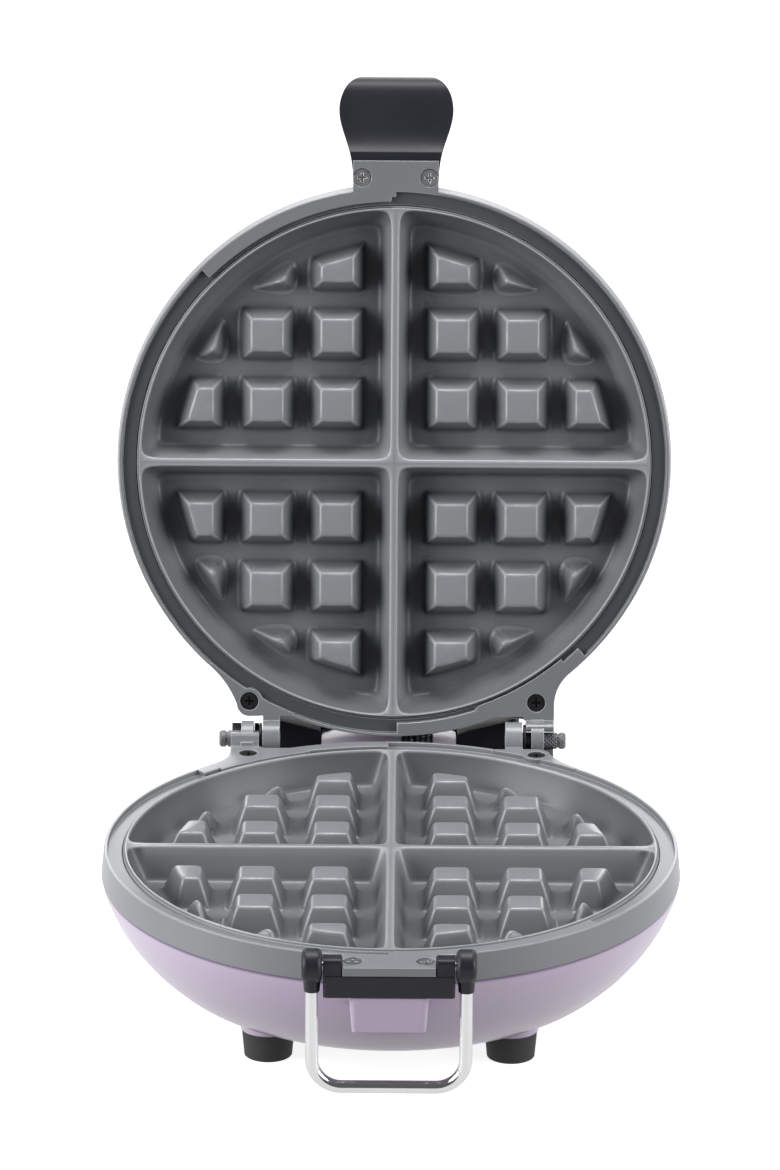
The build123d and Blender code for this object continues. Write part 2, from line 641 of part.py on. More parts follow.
# Grip of the lid, written as it lies on its half: it clasps the tongue from outside and reaches forward.
with BuildPart() as grip:
    with BuildSketch(SIDE.offset(-21)):
        with BuildLine():
            Line((-101.7, -3.1), (-113.0, -3.1))
            Spline((-113.0, -3.1), (-122.0, -7.6), (-131.5, -9.6), (-138.0, -12.6), (-139.6, -17.4),
                   (-135.6, -22.4), (-126.0, -29.0), (-114.0, -35.6), (-104.5, -38.6))
            Line((-104.5, -38.6), (-99.4, -39.0))
            Spline((-99.4, -39.0), (-96.0, -38.6), (-92.6, -40.6), (-91.4, -44.6), (-89.0, -45.6), (-86.9, -43.0),
                   (-88.2, -37.4))
            Line((-88.2, -37.4), (-97.0, -26.4))
            Line((-97.0, -26.4), (-98.2, -24.7))
            Line((-98.2, -24.7), (-110.4, -24.7))
            Line((-110.4, -24.7), (-110.4, -10.8))
            Line((-110.4, -10.8), (-101.7, -10.8))
            Line((-101.7, -10.8), (-101.7, -3.1))
        make_face()
    extrude(amount=42)
    # In plan the grip is waisted and rounded.
    with BuildSketch(Plane.XY.offset(0)):
        with BuildLine():
            Spline((-15.2, -86.0), (-15.4, -100.0), (-16.6, -112.0), (-20.6, -130.0), (-17.0, -137.6), (0, -140.0),
                   (17.0, -137.6), (20.6, -130.0), (16.6, -112.0), (15.4, -100.0), (15.2, -86.0))
            Line((15.2, -86.0), (-15.2, -86.0))
        make_face()
    extrude(amount=-50, mode=Mode.INTERSECT)
    with BuildSketch(Plane.XY.offset(-2)):
        with Locations((-TONGUE_SCREW_X, TONGUE_SCREW_Y), (TONGUE_SCREW_X, TONGUE_SCREW_Y)):
            Circle(1.65)
    extrude(amount=-9.2, mode=Mode.SUBTRACT)

# Rear stand: it carries the machine's back, holds the cord wound round its waist and backs the open lid.
with BuildPart() as stand:
    with BuildSketch(Plane.XY.offset(-59)):
        with Locations((0, 120.9)):
            RectangleRounded(STAND_HALF * 2, 21.0, 5)
    extrude(amount=66)
    with BuildSketch(Plane.XZ.offset(-100)):
        with BuildLine():
            Polyline(
                (-50, -60), (-50, 1.6), (-STAND_HALF, 3.0), (-44.4, 4.8), (-40, 3.4), (-27, 0.0), (-20, -2.8),
                (20, -2.8), (27, 0.0), (40, 3.4), (44.4, 4.8), (STAND_HALF, 3.0), (50, 1.6), (50, -60), close=True,
            )
        make_face()
    extrude(amount=-40, mode=Mode.INTERSECT)
    # Room for the neck of the lower housing.
    with BuildSketch(Plane.XY.offset(10)):
        with Locations((-1.4, 110.2)):
            Rectangle(50.2, 20.6)
    extrude(amount=-44.4, mode=Mode.SUBTRACT)
    # Waist for the cord.
    for sx in (-1, 1):
        with BuildSketch(Plane.XZ.offset(-100)):
            with Locations((sx * (STAND_HALF + 3), -31)):
                RectangleRounded(34, 28, 5)
        extrude(amount=-40, mode=Mode.SUBTRACT)
    # Hollow foot, open below.
    with BuildSketch(Plane.XY.offset(-60)):
        with Locations((0, 120.9)):
            RectangleRounded(66, 15.0, 3)
    extrude(amount=22, mode=Mode.SUBTRACT)
    with BuildSketch(Plane.XZ.offset(-115)):
        with Locations((-1.4, -18)):
            Circle(5.3)
        with Locations((-16.4, -18), (13.6, -18)):
            Circle(1.7)
    extrude(amount=-20, mode=Mode.SUBTRACT)

with BuildPart() as stand_screws:
    for px in (-16.4, 13.6):
        add(screw_shape(3.2, 2.2, 1.55, 15.4, False).moved(Location((px, 133.6, -18), (-90, 0, 0))))

# Rubber pads: four under the bowl, two under the stand.
with BuildPart() as feet:
    with BuildSketch(Plane.XY.offset(-SHELL_DEEP - 2.0)):
        with Locations((-42, -40), (42, -40), (-42, 40), (42, 40)):
            Circle(9.2)
    extrude(amount=-10.0, taper=5)
    with BuildSketch(Plane.XY.offset(-FACE_Z)):
        with Locations((-42, -40), (42, -40), (-42, 40), (42, 40)):
            Circle(4.4)
    extrude(amount=6.0, mode=Mode.SUBTRACT)
    with BuildSketch(Plane.XY.offset(-FACE_Z)):
        with Locations((-42, -40), (42, -40), (-42, 40), (42, 40)):
            Circle(2.0)
    extrude(amount=12.0, mode=Mode.SUBTRACT)
with BuildPart() as stand_pads:
    with BuildSketch(Plane.XY.offset(-59)):
        with Locations((-39.8, 120.9), (39.8, 120.9)):
            SlotOverall(16, 8.4, rotation=90)
    extrude(amount=-3.0, taper=6)
foot_screw = screw_shape(3.6, 2.4, 1.5, 11.0, False)
with BuildPart() as foot_screws:
    with Locations((-42, -40), (42, -40), (-42, 40), (42, 40)):
        add(foot_screw.moved(Location((0, 0, -58.45), (180, 0, 0))))

# Bushing where the cord goes in.
with BuildPart() as gland:
    with BuildSketch(Plane.XZ.offset(-131.5)):
        with Locations((-1.4, -18)):
            Circle(8)
    extrude(amount=-2.4)
    chamfer(gland.faces().sort_by(Axis.Y)[-1].edges(), 0.9)
    with BuildSketch(Plane.XZ.offset(-131.6)):
        with Locations((-1.4, -18)):
            Circle(5.2)
    extrude(amount=16.5)
    with BuildSketch(Plane.XZ.offset(-140)):
        with Locations((-1.4, -18)):
            Circle(3.5)
    extrude(amount=30, mode=Mode.SUBTRACT)

# Screw block for the wiring, with a lead to each end of the heater.
with BuildPart() as terminal_block:
    with BuildSketch(Plane.XY.offset(-37)):
        with Locations((0, 72)):
            RectangleRounded(34, 10.4, 1)
    extrude(amount=7)
    with BuildSketch(Plane.XY.offset(-30)):
        with Locations((-11, 72), (0, 72), (11, 72)):
            Circle(3.9)
    extrude(amount=2.6, taper=4)
    with BuildSketch(Plane.XY.offset(-27)):
        with Locations((-11, 72), (0, 72), (11, 72)):
            Circle(2.2)
    extrude(amount=-6, mode=Mode.SUBTRACT)
lead_routes = [
    [(sx * 10.45, 61.63, -38.7), (sx * 10.45, 61.63, -41.6), (sx * 11.6, 70.6, -41.6), (sx * 11.6, 70.6, -37.05)]
    for sx in (-1, 1)
]
with BuildPart() as leads_half:
    for route in lead_routes:
        with BuildLine() as lead_line:
            FilletPolyline(*route, radius=1.9)
        lead_wire = lead_line.wire()
        with BuildSketch(Plane(origin=lead_wire @ 0, z_dir=lead_wire % 0)):
            Circle(1.3)
        sweep(path=lead_wire)

# Heat cut-out under the lower plate.
with BuildPart() as cutout:
    with BuildSketch(Plane.XY.offset(-18.45)):
        Circle(8.6)
    extrude(amount=-7.5)
    with BuildSketch(Plane.XY.offset(-18.45)):
        SlotOverall(24.5, 5.4)
    extrude(amount=-1.2)
    with BuildSketch(Plane.XY.offset(-25.9)):
        with Locations((-4.6, 0), (4.6, 0)):
            Rectangle(1.2, 6.2)
    extrude(amount=-8)

# Thermostat over the upper plate, its spindle and the dial.
with BuildPart() as thermostat:
    with BuildSketch(Plane.XY.offset(-18.45)):
        Circle(11)
    extrude(amount=-3)
    with BuildSketch(Plane.XY.offset(-21.4)):
        Rectangle(17, 12)
    extrude(amount=-9)
    with BuildSketch(Plane.XY.offset(-30)):
        Circle(4.6)
    extrude(amount=-6)
    with BuildSketch(Plane.XY.offset(-27)):
        Circle(3.06)
    extrude(amount=-12, mode=Mode.SUBTRACT)
with BuildPart() as spindle:
    with BuildSketch(Plane.XY.offset(-27.4)):
        Circle(3.0)
    extrude(amount=-31.6)
    with BuildSketch(Plane.XY.offset(-51)):
        with Locations((0, 3.4)):
            Rectangle(8, 2)
    extrude(amount=-9, mode=Mode.SUBTRACT)
with BuildPart() as dial:
    with BuildSketch(Plane.XY.offset(-51.6)):
        Circle(DIAL_R)
    extrude(amount=-5)
    with BuildSketch(Plane.XY.offset(-56.5)):
        Circle(DIAL_R - 1.6)
        with PolarLocations(DIAL_R - 0.6, 24):
            Circle(1.1, mode=Mode.SUBTRACT)
    extrude(amount=-9.5, taper=4)
    with BuildSketch(Plane.XY.offset(-65.6)):
        SlotOverall(25, 5, rotation=90)
    extrude(amount=-2.6, taper=14)
    with BuildSketch(Plane.XY.offset(-51)):
        Circle(3.02)
        with Locations((0, 3.4)):
            Rectangle(8, 2, mode=Mode.SUBTRACT)
    extrude(amount=-8.2, mode=Mode.SUBTRACT)

# Indicator lamps: a tinted lens in the dome over each bulb, and the carrier that holds the bulbs.
lenses = []
for sx in (-1, 1):
    with BuildPart() as lens:
        with BuildSketch(Plane.XY.offset(-44.5)):
            with Locations((sx * 9.5, -34)):
                Circle(4.0)
                Circle(2.9, mode=Mode.SUBTRACT)
        extrude(amount=-6)
        with BuildSketch(Plane.XY.offset(-50.05)):
            with Locations((sx * 9.5, -34)):
                Circle(5.0)
        extrude(amount=-1.8, taper=20)
    lenses.append(lens.part)
with BuildPart() as lamp_carrier:
    with BuildSketch(Plane.XY.offset(-36)):
        with Locations((0, -34)):
            RectangleRounded(34, 13, 2)
    extrude(amount=-2.4)
    for sx in (-1, 1):
        with BuildSketch(Plane.XY.offset(-38)):
            with Locations((sx * 9.5, -34)):
                Circle(4.4)
                Circle(2.9, mode=Mode.SUBTRACT)
        extrude(amount=-5.8)
        with BuildSketch(Plane.XY.offset(-38)):
            with Locations((sx * 15.2, -34)):
                Circle(1.4)
        extrude(amount=-9.55)
with BuildPart() as bulbs:
    with BuildSketch(Plane.XY.offset(-38.5)):
        with Locations((-9.5, -34), (9.5, -34)):
            Circle(2.4)
    extrude(amount=-9.0)
    fillet(bulbs.faces().sort_by(Axis.Z)[:2].edges(), 1.9)

# Flat sleeve for the wires that cross from the lower half into the lid.
with BuildPart() as sleeve:
    with BuildLine(SIDE.offset(9)) as sleeve_line:
        FilletPolyline(
            (80.0, -27.2), (97.0, -25.6), (104.9, -18.0), (104.9, -4.7), (116.9, -4.7), (116.6, 1.2), (115.4, 6.4),
            radius=2.6,
        )
    sleeve_wire = sleeve_line.wire()
    with BuildSketch(Plane(origin=sleeve_wire @ 0, x_dir=(1, 0, 0), z_dir=sleeve_wire % 0)):
        RectangleRounded(10.0, 2.6, 1.2)
    sweep(path=sleeve_wire)

for label, shape in (
    ("base_plate", plate_shape),
    ("base_frame", frame_shape),
    ("base_shell", base_shell.part),
    ("base_heater", heater_shape),
    ("base_reflector", reflector_shape),
    ("base_plate_screws", plate_screws_shape),
    ("base_hinge_screws", hinge_screws_half.part),
    ("base_tongue_screws", tongue_screws_half.part),
    ("base_hinge_clip", clip_shape),
    ("base_hinge_pin", pin_shape),
    ("bail_block", bail_block.part),
    ("bail_pins", bail_pins.part),
    ("bail_knuckles", bail_knuckles.part),
    ("bail", bail.part),
    ("rear_stand", stand.part),
    ("stand_screws", stand_screws.part),
    ("stand_pads", stand_pads.part),
    ("rubber_feet", feet.part),
    ("foot_screws", foot_screws.part),
    ("cord_gland", gland.part),
    ("terminal_block", terminal_block.part),
    ("base_leads", leads_half.part),
    ("heat_cutout", cutout.part),
    ("wire_sleeve", sleeve.part),
):
    keep(placed(shape, BASE_PLACE), label)

for label, shape in (
    ("lid_plate", plate_shape),
    ("lid_frame", frame_shape),
    ("lid_shell", lid_shell.part),
    ("lid_heater", heater_shape),
    ("lid_reflector", reflector_shape),
    ("lid_plate_screws", plate_screws_shape),
    ("lid_hinge_screws", hinge_screws_half.part),
    ("lid_tongue_screws", tongue_screws_half.part),
    ("lid_hinge_clip", clip_shape),
    ("lid_hinge_pin", pin_shape),
    ("lid_grip", grip.part),
    ("thermostat", thermostat.part),
    ("dial_spindle", spindle.part),
    ("dial", dial.part),
    ("power_lens", lenses[0]),
    ("ready_lens", lenses[1]),
    ("lamp_carrier", lamp_carrier.part),
    ("lamp_bulbs", bulbs.part),
):
    keep(placed(shape, LID_PLACE), label)
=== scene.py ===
import json
import math
import bpy
import numpy as np
from mathutils import Matrix, Vector


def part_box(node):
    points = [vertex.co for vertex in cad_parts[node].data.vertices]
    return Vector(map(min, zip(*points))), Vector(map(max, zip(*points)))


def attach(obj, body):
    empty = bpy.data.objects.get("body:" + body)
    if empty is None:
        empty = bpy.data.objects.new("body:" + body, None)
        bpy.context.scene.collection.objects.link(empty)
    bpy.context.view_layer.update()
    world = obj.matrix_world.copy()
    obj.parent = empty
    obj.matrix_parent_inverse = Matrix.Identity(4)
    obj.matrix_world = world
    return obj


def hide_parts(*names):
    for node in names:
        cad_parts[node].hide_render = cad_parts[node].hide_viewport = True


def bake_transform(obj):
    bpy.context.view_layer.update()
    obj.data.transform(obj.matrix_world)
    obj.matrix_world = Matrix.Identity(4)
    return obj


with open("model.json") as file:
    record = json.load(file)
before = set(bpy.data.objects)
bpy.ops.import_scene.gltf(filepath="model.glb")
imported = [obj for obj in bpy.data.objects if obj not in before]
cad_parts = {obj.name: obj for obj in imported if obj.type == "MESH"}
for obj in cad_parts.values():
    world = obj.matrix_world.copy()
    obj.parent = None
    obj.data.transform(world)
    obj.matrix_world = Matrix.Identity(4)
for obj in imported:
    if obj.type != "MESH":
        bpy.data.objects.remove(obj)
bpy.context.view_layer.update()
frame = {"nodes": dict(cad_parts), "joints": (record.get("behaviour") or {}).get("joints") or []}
nodes = frame["nodes"]

# Studio. The waffle maker stands on a white table in front of a white wall, with one large soft
# light overhead, one in front at each side and a weaker one behind.
FOCAL_MM = 181.73
SENSOR_MM = 36
CAMERA_AZIMUTH = math.radians(0.223)
CAMERA_ELEVATION = math.radians(19.505)
CAMERA_ROLL = math.radians(0.298)
CAMERA_DISTANCE = 2.031953
AIM_X, AIM_Z = -0.000805, 0.158034
TABLE_HALF = 6
TABLE_GLOW = 0.87
TABLE_SEEN = (0.40, 0.40, 0.40, 1)
TABLE_BOUNCE = (0.12, 0.12, 0.12, 1)
WHITE = (1, 1, 1, 1)


def feed(tree, values, sockets):
    """Gives each socket its value: an output of another node is linked, and anything else is set."""
    for value, socket in zip(values, sockets):
        if isinstance(value, bpy.types.NodeSocket):
            tree.links.new(value, socket)
        else:
            socket.default_value = value


def math_node(tree, operation, *values):
    """The result of one Math node on the values."""
    node = tree.nodes.new("ShaderNodeMath")
    node.operation = operation
    feed(tree, values, node.inputs)
    return node.outputs[0]


def ramp(tree, value, low, high, first=0.0, last=1.0):
    """A straight ramp that is first where value is low and last where it is high, and level beyond."""
    node = tree.nodes.new("ShaderNodeMapRange")
    feed(tree, (value, low, high, first, last), node.inputs)
    return node.outputs["Result"]


def mixed(tree, share, first, second, blend="MIX"):
    """The colour first with the colour second mixed in by share."""
    node = tree.nodes.new("ShaderNodeMix")
    node.data_type = "RGBA"
    node.blend_type = blend
    feed(tree, (share, first, second), (node.inputs["Factor"], node.inputs["A"], node.inputs["B"]))
    return node.outputs["Result"]


def axes_of(tree, place):
    """The x, y and z outputs of a place or direction."""
    node = tree.nodes.new("ShaderNodeSeparateXYZ")
    tree.links.new(place, node.inputs[0])
    return node.outputs


scene = bpy.context.scene
scene.view_settings.view_transform = "Standard"
plate_low, plate_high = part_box("base_plate")
ring_y = (plate_low.y + plate_high.y) / 2

back = Vector((math.sin(CAMERA_AZIMUTH) * math.cos(CAMERA_ELEVATION),
               -math.cos(CAMERA_AZIMUTH) * math.cos(CAMERA_ELEVATION), math.sin(CAMERA_ELEVATION)))
right = (-back).cross(Vector((0, 0, 1))).normalized()
up = right.cross(-back)
across = right * math.cos(CAMERA_ROLL) + up * math.sin(CAMERA_ROLL)
upward = up * math.cos(CAMERA_ROLL) - right * math.sin(CAMERA_ROLL)
camera_data = bpy.data.cameras.new("camera")
camera_data.lens = FOCAL_MM
camera_data.sensor_width = SENSOR_MM
camera_data.clip_start = 0.1
camera_data.clip_end = 50
camera = bpy.data.objects.new("camera", camera_data)
scene.collection.objects.link(camera)
turned = Matrix((across, upward, back)).transposed().to_4x4()
camera.matrix_world = Matrix.Translation(Vector((AIM_X, ring_y, AIM_Z)) + back * CAMERA_DISTANCE) @ turned
scene.camera = camera

# The table looks white to the camera, and dark to the light that would bounce from it.
floor_mesh = bpy.data.meshes.new("floor")
floor_mesh.from_pydata([(-TABLE_HALF, -TABLE_HALF, 0), (TABLE_HALF, -TABLE_HALF, 0),
                        (TABLE_HALF, TABLE_HALF, 0), (-TABLE_HALF, TABLE_HALF, 0)], [], [(0, 1, 2, 3)])
floor = bpy.data.objects.new("floor", floor_mesh)
scene.collection.objects.link(floor)
floor_look = bpy.data.materials.new("white_table")
floor_look.use_nodes = True
tree = floor_look.node_tree
floor_shader = tree.nodes["Principled BSDF"]
floor_shader.inputs["Roughness"].default_value = 0.7
floor_shader.inputs["Emission Color"].default_value = WHITE
rays = tree.nodes.new("ShaderNodeLightPath").outputs
seen = math_node(tree, "MAXIMUM", rays["Is Camera Ray"], rays["Is Glossy Ray"])
tree.links.new(math_node(tree, "MULTIPLY", seen, TABLE_GLOW), floor_shader.inputs["Emission Strength"])
paint = mixed(tree, rays["Is Camera Ray"], TABLE_BOUNCE, TABLE_SEEN)
tree.links.new(paint, floor_shader.inputs["Base Color"])
floor_mesh.materials.append(floor_look)

# The wall is white to the camera and through glass. Metal shows it white behind the object, and dim
# in front.
world = bpy.data.worlds.new("studio")
scene.world = world
world.use_nodes = True
tree = world.node_tree
ambient = tree.nodes["Background"]
ambient.inputs["Color"].default_value = (0.93, 0.95, 1.0, 1)
ambient.inputs["Strength"].default_value = 0.03
wall = tree.nodes.new("ShaderNodeBackground")
wall.inputs["Color"].default_value = WHITE
wall.inputs["Strength"].default_value = 1.0
rays = tree.nodes.new("ShaderNodeLightPath").outputs
direction = axes_of(tree, tree.nodes.new("ShaderNodeTexCoord").outputs["Generated"])
behind = ramp(tree, direction["Y"], -0.25, 0.55, 0.12, 1.0)
mirrored = math_node(tree, "MULTIPLY", rays["Is Glossy Ray"], behind)
straight = math_node(tree, "MAXIMUM", rays["Is Camera Ray"], rays["Is Transmission Ray"])
white_share = math_node(tree, "MAXIMUM", straight, mirrored)
mix = tree.nodes.new("ShaderNodeMixShader")
feed(tree, (white_share, ambient.outputs[0], wall.outputs[0]), mix.inputs)
tree.links.new(mix.outputs[0], tree.nodes["World Output"].inputs[0])


def softbox(name, place, aim, width, height, watts, tint):
    """A rectangular lamp at place that faces the point aim."""
    data = bpy.data.lights.new(name, "AREA")
    data.shape = "RECTANGLE"
    data.size = width
    data.size_y = height
    data.energy = watts
    data.color = tint
    lamp = bpy.data.objects.new(name, data)
    scene.collection.objects.link(lamp)
    lamp.location = place
    lamp.rotation_euler = (Vector(aim) - Vector(place)).to_track_quat("-Z", "Y").to_euler()


FRONT_AIM = (0, 0.05, 0.14)
softbox("left_softbox", (-1.30, -0.50, 0.60), FRONT_AIM, 1.0, 1.0, 25, (1, 1, 1))
softbox("right_softbox", (1.30, -0.50, 0.60), FRONT_AIM, 1.0, 1.0, 18, (1, 1, 1))
softbox("overhead_softbox", (0.0, 0.16, 1.74), (0, 0, 0.1), 1.2, 0.6, 25, (1.0, 0.99, 0.98))
softbox("back_softbox", (0.0, 1.6, 0.9), (0, 0.05, 0.12), 1.5, 0.8, 14, (1, 1, 1))

# Cooking plates. Each is one aluminium casting with a deep grid of tapered pegs and two crossed
# ribs, sprayed with a satin grey non-stick coating. The same casting serves below and in the lid, and
# is held from behind by screws into its bosses. Sizes are in millimetres, with z = 0 at a half's face.
FLOOR_Z = -12.6
PEG_TOP_Z = -2.0
RIB_TOP_Z = -0.6
PEG_TOP_HALF = 6.0
PEG_FOOT_HALF = 10.0
PEG_LEAN = (PEG_FOOT_HALF - PEG_TOP_HALF) / (PEG_TOP_Z - FLOOR_Z)
PEG_FIRST = 21.0
PEG_PITCH = 25.4
PEG_PLACES = [(PEG_FIRST + PEG_PITCH * i, PEG_FIRST + PEG_PITCH * j)
              for i in range(3) for j in range(3) if i + j < 4]
# The slanted cut of the outer pegs: its radius at the top and its lean. Then the distances from the
# middle beyond which a peg is cut, and beyond which it is only a corner tip.
CUT_R = 76.5
CUT_LEAN = 3.9 / 11.2
CUT_FROM = 60
TIP_FROM = 80
QUARTER_MIDDLE = 40.0
LIP_R = 92.55
PLATE_FOOT_Z = -16.2
BOSS_R = 84
BOSS_FIRST = math.radians(15)
BOSS_STEP = 2.0944
FACE_Z = 0.062
FACE_GAP = 0.0004
OPEN = math.radians(102.6)
hinge_pos = np.array(next(j for j in frame["joints"] if j["name"] == "lid_hinge")["pos_m"])


def lower(points):
    """Points of a half in millimetres, z = 0 at its face, put where the lower half stands, in metres."""
    p = np.asarray(points, float).reshape(-1, 3) / 1000
    return p + np.array([0, ring_y, FACE_Z])


def upper(points):
    """Points of a half in millimetres, turned over about the hinge into the open lid, in metres."""
    p = np.asarray(points, float).reshape(-1, 3) / 1000
    ahead = (hinge_pos[1] - ring_y) - p[:, 1]
    above = -(p[:, 2] - FACE_GAP / 2)
    y = hinge_pos[1] - (ahead * math.cos(OPEN) - above * math.sin(OPEN))
    z = hinge_pos[2] + ahead * math.sin(OPEN) + above * math.cos(OPEN)
    return np.c_[-p[:, 0], y, z]


def grid_faces(rows, columns):
    """Quads between neighbouring rows of a grid of points, where the last column joins the first."""
    r = np.arange(rows - 1)[:, None] * columns
    c = np.arange(columns)[None, :]
    n = (c + 1) % columns
    return np.stack([r + c, r + n, r + columns + n, r + columns + c], -1).reshape(-1, 4)


def new_piece(name, points, quads, look, body, smooth=True):
    """A mesh object from arrays of points and quads, with its material and body."""
    mesh = bpy.data.meshes.new(name)
    mesh.vertices.add(len(points))
    mesh.vertices.foreach_set("co", np.asarray(points, np.float32).ravel())
    mesh.loops.add(quads.size)
    mesh.loops.foreach_set("vertex_index", quads.astype(np.int32).ravel())
    mesh.polygons.add(len(quads))
    mesh.polygons.foreach_set("loop_start", np.arange(len(quads), dtype=np.int32) * 4)
    mesh.update(calc_edges=True)
    mesh.validate()
    piece = bpy.data.objects.new(name, mesh)
    scene.collection.objects.link(piece)
    if smooth:
        mesh.shade_smooth()
    mesh.materials.append(look)
    if body:
        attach(piece, body)
    return piece


def evenly(x, y, count, sharp):
    """Closed outlines, one a row, resampled to count points, closer where the outline turns."""
    step = np.hypot(np.roll(x, -1, 1) - x, np.roll(y, -1, 1) - y)
    way = np.arctan2(np.roll(y, -1, 1) - y, np.roll(x, -1, 1) - x)
    turn = np.abs((way - np.roll(way, 1, 1) + np.pi) % (2 * np.pi) - np.pi)
    weight = step / step.sum(1, keepdims=True) + sharp * turn / turn.sum(1, keepdims=True)
    run = np.concatenate([np.zeros((len(x), 1)), np.cumsum(weight, 1)], 1)
    run = run / run[:, -1:]
    want = np.arange(count) / count
    xs = np.concatenate([x, x[:, :1]], 1)
    ys = np.concatenate([y, y[:, :1]], 1)
    rows = range(len(x))
    return (np.stack([np.interp(want, run[i], xs[i]) for i in rows]),
            np.stack([np.interp(want, run[i], ys[i]) for i in rows]))


def pocket_quarter(count=200):
    """One quarter of the plate without its pegs. Along each ray from the quarter's middle the distance is
    the rounded minimum of those to the two ribs and to the round wall, worked out for one depth a row."""
    # Each level is half the rib's thickness, the wall's radius, and z.
    levels = np.array([
        (0.95, 92.50, RIB_TOP_Z), (1.12, 92.39, -0.68), (1.32, 92.24, -0.86), (1.50, 92.09, -1.2),
        (1.62, 91.95, -1.6), (2.70, 90.45, -4.9), (3.80, 88.95, -8.2), (4.55, 87.8, -10.5),
        (4.72, 87.6, -11.0), (4.93, 87.3, -11.5), (5.25, 86.95, -11.95), (5.70, 86.5, -12.3),
        (6.25, 85.9, -12.52), (6.9, 85.2, FLOOR_Z),
    ])
    middle = QUARTER_MIDDLE

    def outline(ray, half, radius, power):
        """Distance along each ray to the pocket's outline. It is one over the power-th root of the sum of
        the three distances' inverse powers, or the plain minimum where power is 0."""
        c, s = np.cos(ray), np.sin(ray)
        to_x = np.where(c < -1e-6, (middle - half) / np.maximum(-c, 1e-6), 1e6)
        to_y = np.where(s < -1e-6, (middle - half) / np.maximum(-s, 1e-6), 1e6)
        along = middle * (c + s)
        to_wall = -along + np.sqrt(along ** 2 - 2 * middle ** 2 + radius ** 2)
        if not power:
            return np.minimum(np.minimum(to_x, to_y), to_wall)
        return (to_x ** -power + to_y ** -power + to_wall ** -power) ** (-1 / power)

    ray = np.linspace(0, 2 * np.pi, 1440, endpoint=False)
    far = np.stack([outline(ray, half, radius, 22.0) for half, radius, _ in levels])
    x, y = evenly(middle + far * np.cos(ray), middle + far * np.sin(ray), count, 1.2)
    z = np.repeat(levels[:, 2:], count, 1)
    # The first row is the quarter's own edge: the middle lines of the ribs and the lip.
    ray = np.arctan2(y[0] - middle, x[0] - middle)
    far = outline(ray, 0.0, LIP_R, 0)
    edge_x, edge_y = middle + far * np.cos(ray), middle + far * np.sin(ray)
    edge_x = np.where(edge_x < 0.04, 0.0, edge_x)
    edge_y = np.where(edge_y < 0.04, 0.0, edge_y)
    # The last rows close the floor to its middle.
    inward = (np.arange(1, 31) / 30)[:, None]
    x = np.concatenate([edge_x[None], x, x[-1] + (middle - x[-1]) * inward])
    y = np.concatenate([edge_y[None], y, y[-1] + (middle - y[-1]) * inward])
    z = np.concatenate([np.full((1, count), RIB_TOP_Z), z, np.full((len(inward), count), FLOOR_Z)])
    # The ribs' ends rise to the lip.
    rise = np.clip((np.hypot(x, y) - 90.4) / 1.5, 0, 1) * np.clip((z + 1.2) / 0.6, 0, 1)
    z = z + 0.3 * rise
    return np.stack([x, y, z], -1).reshape(-1, 3), grid_faces(len(z), count)


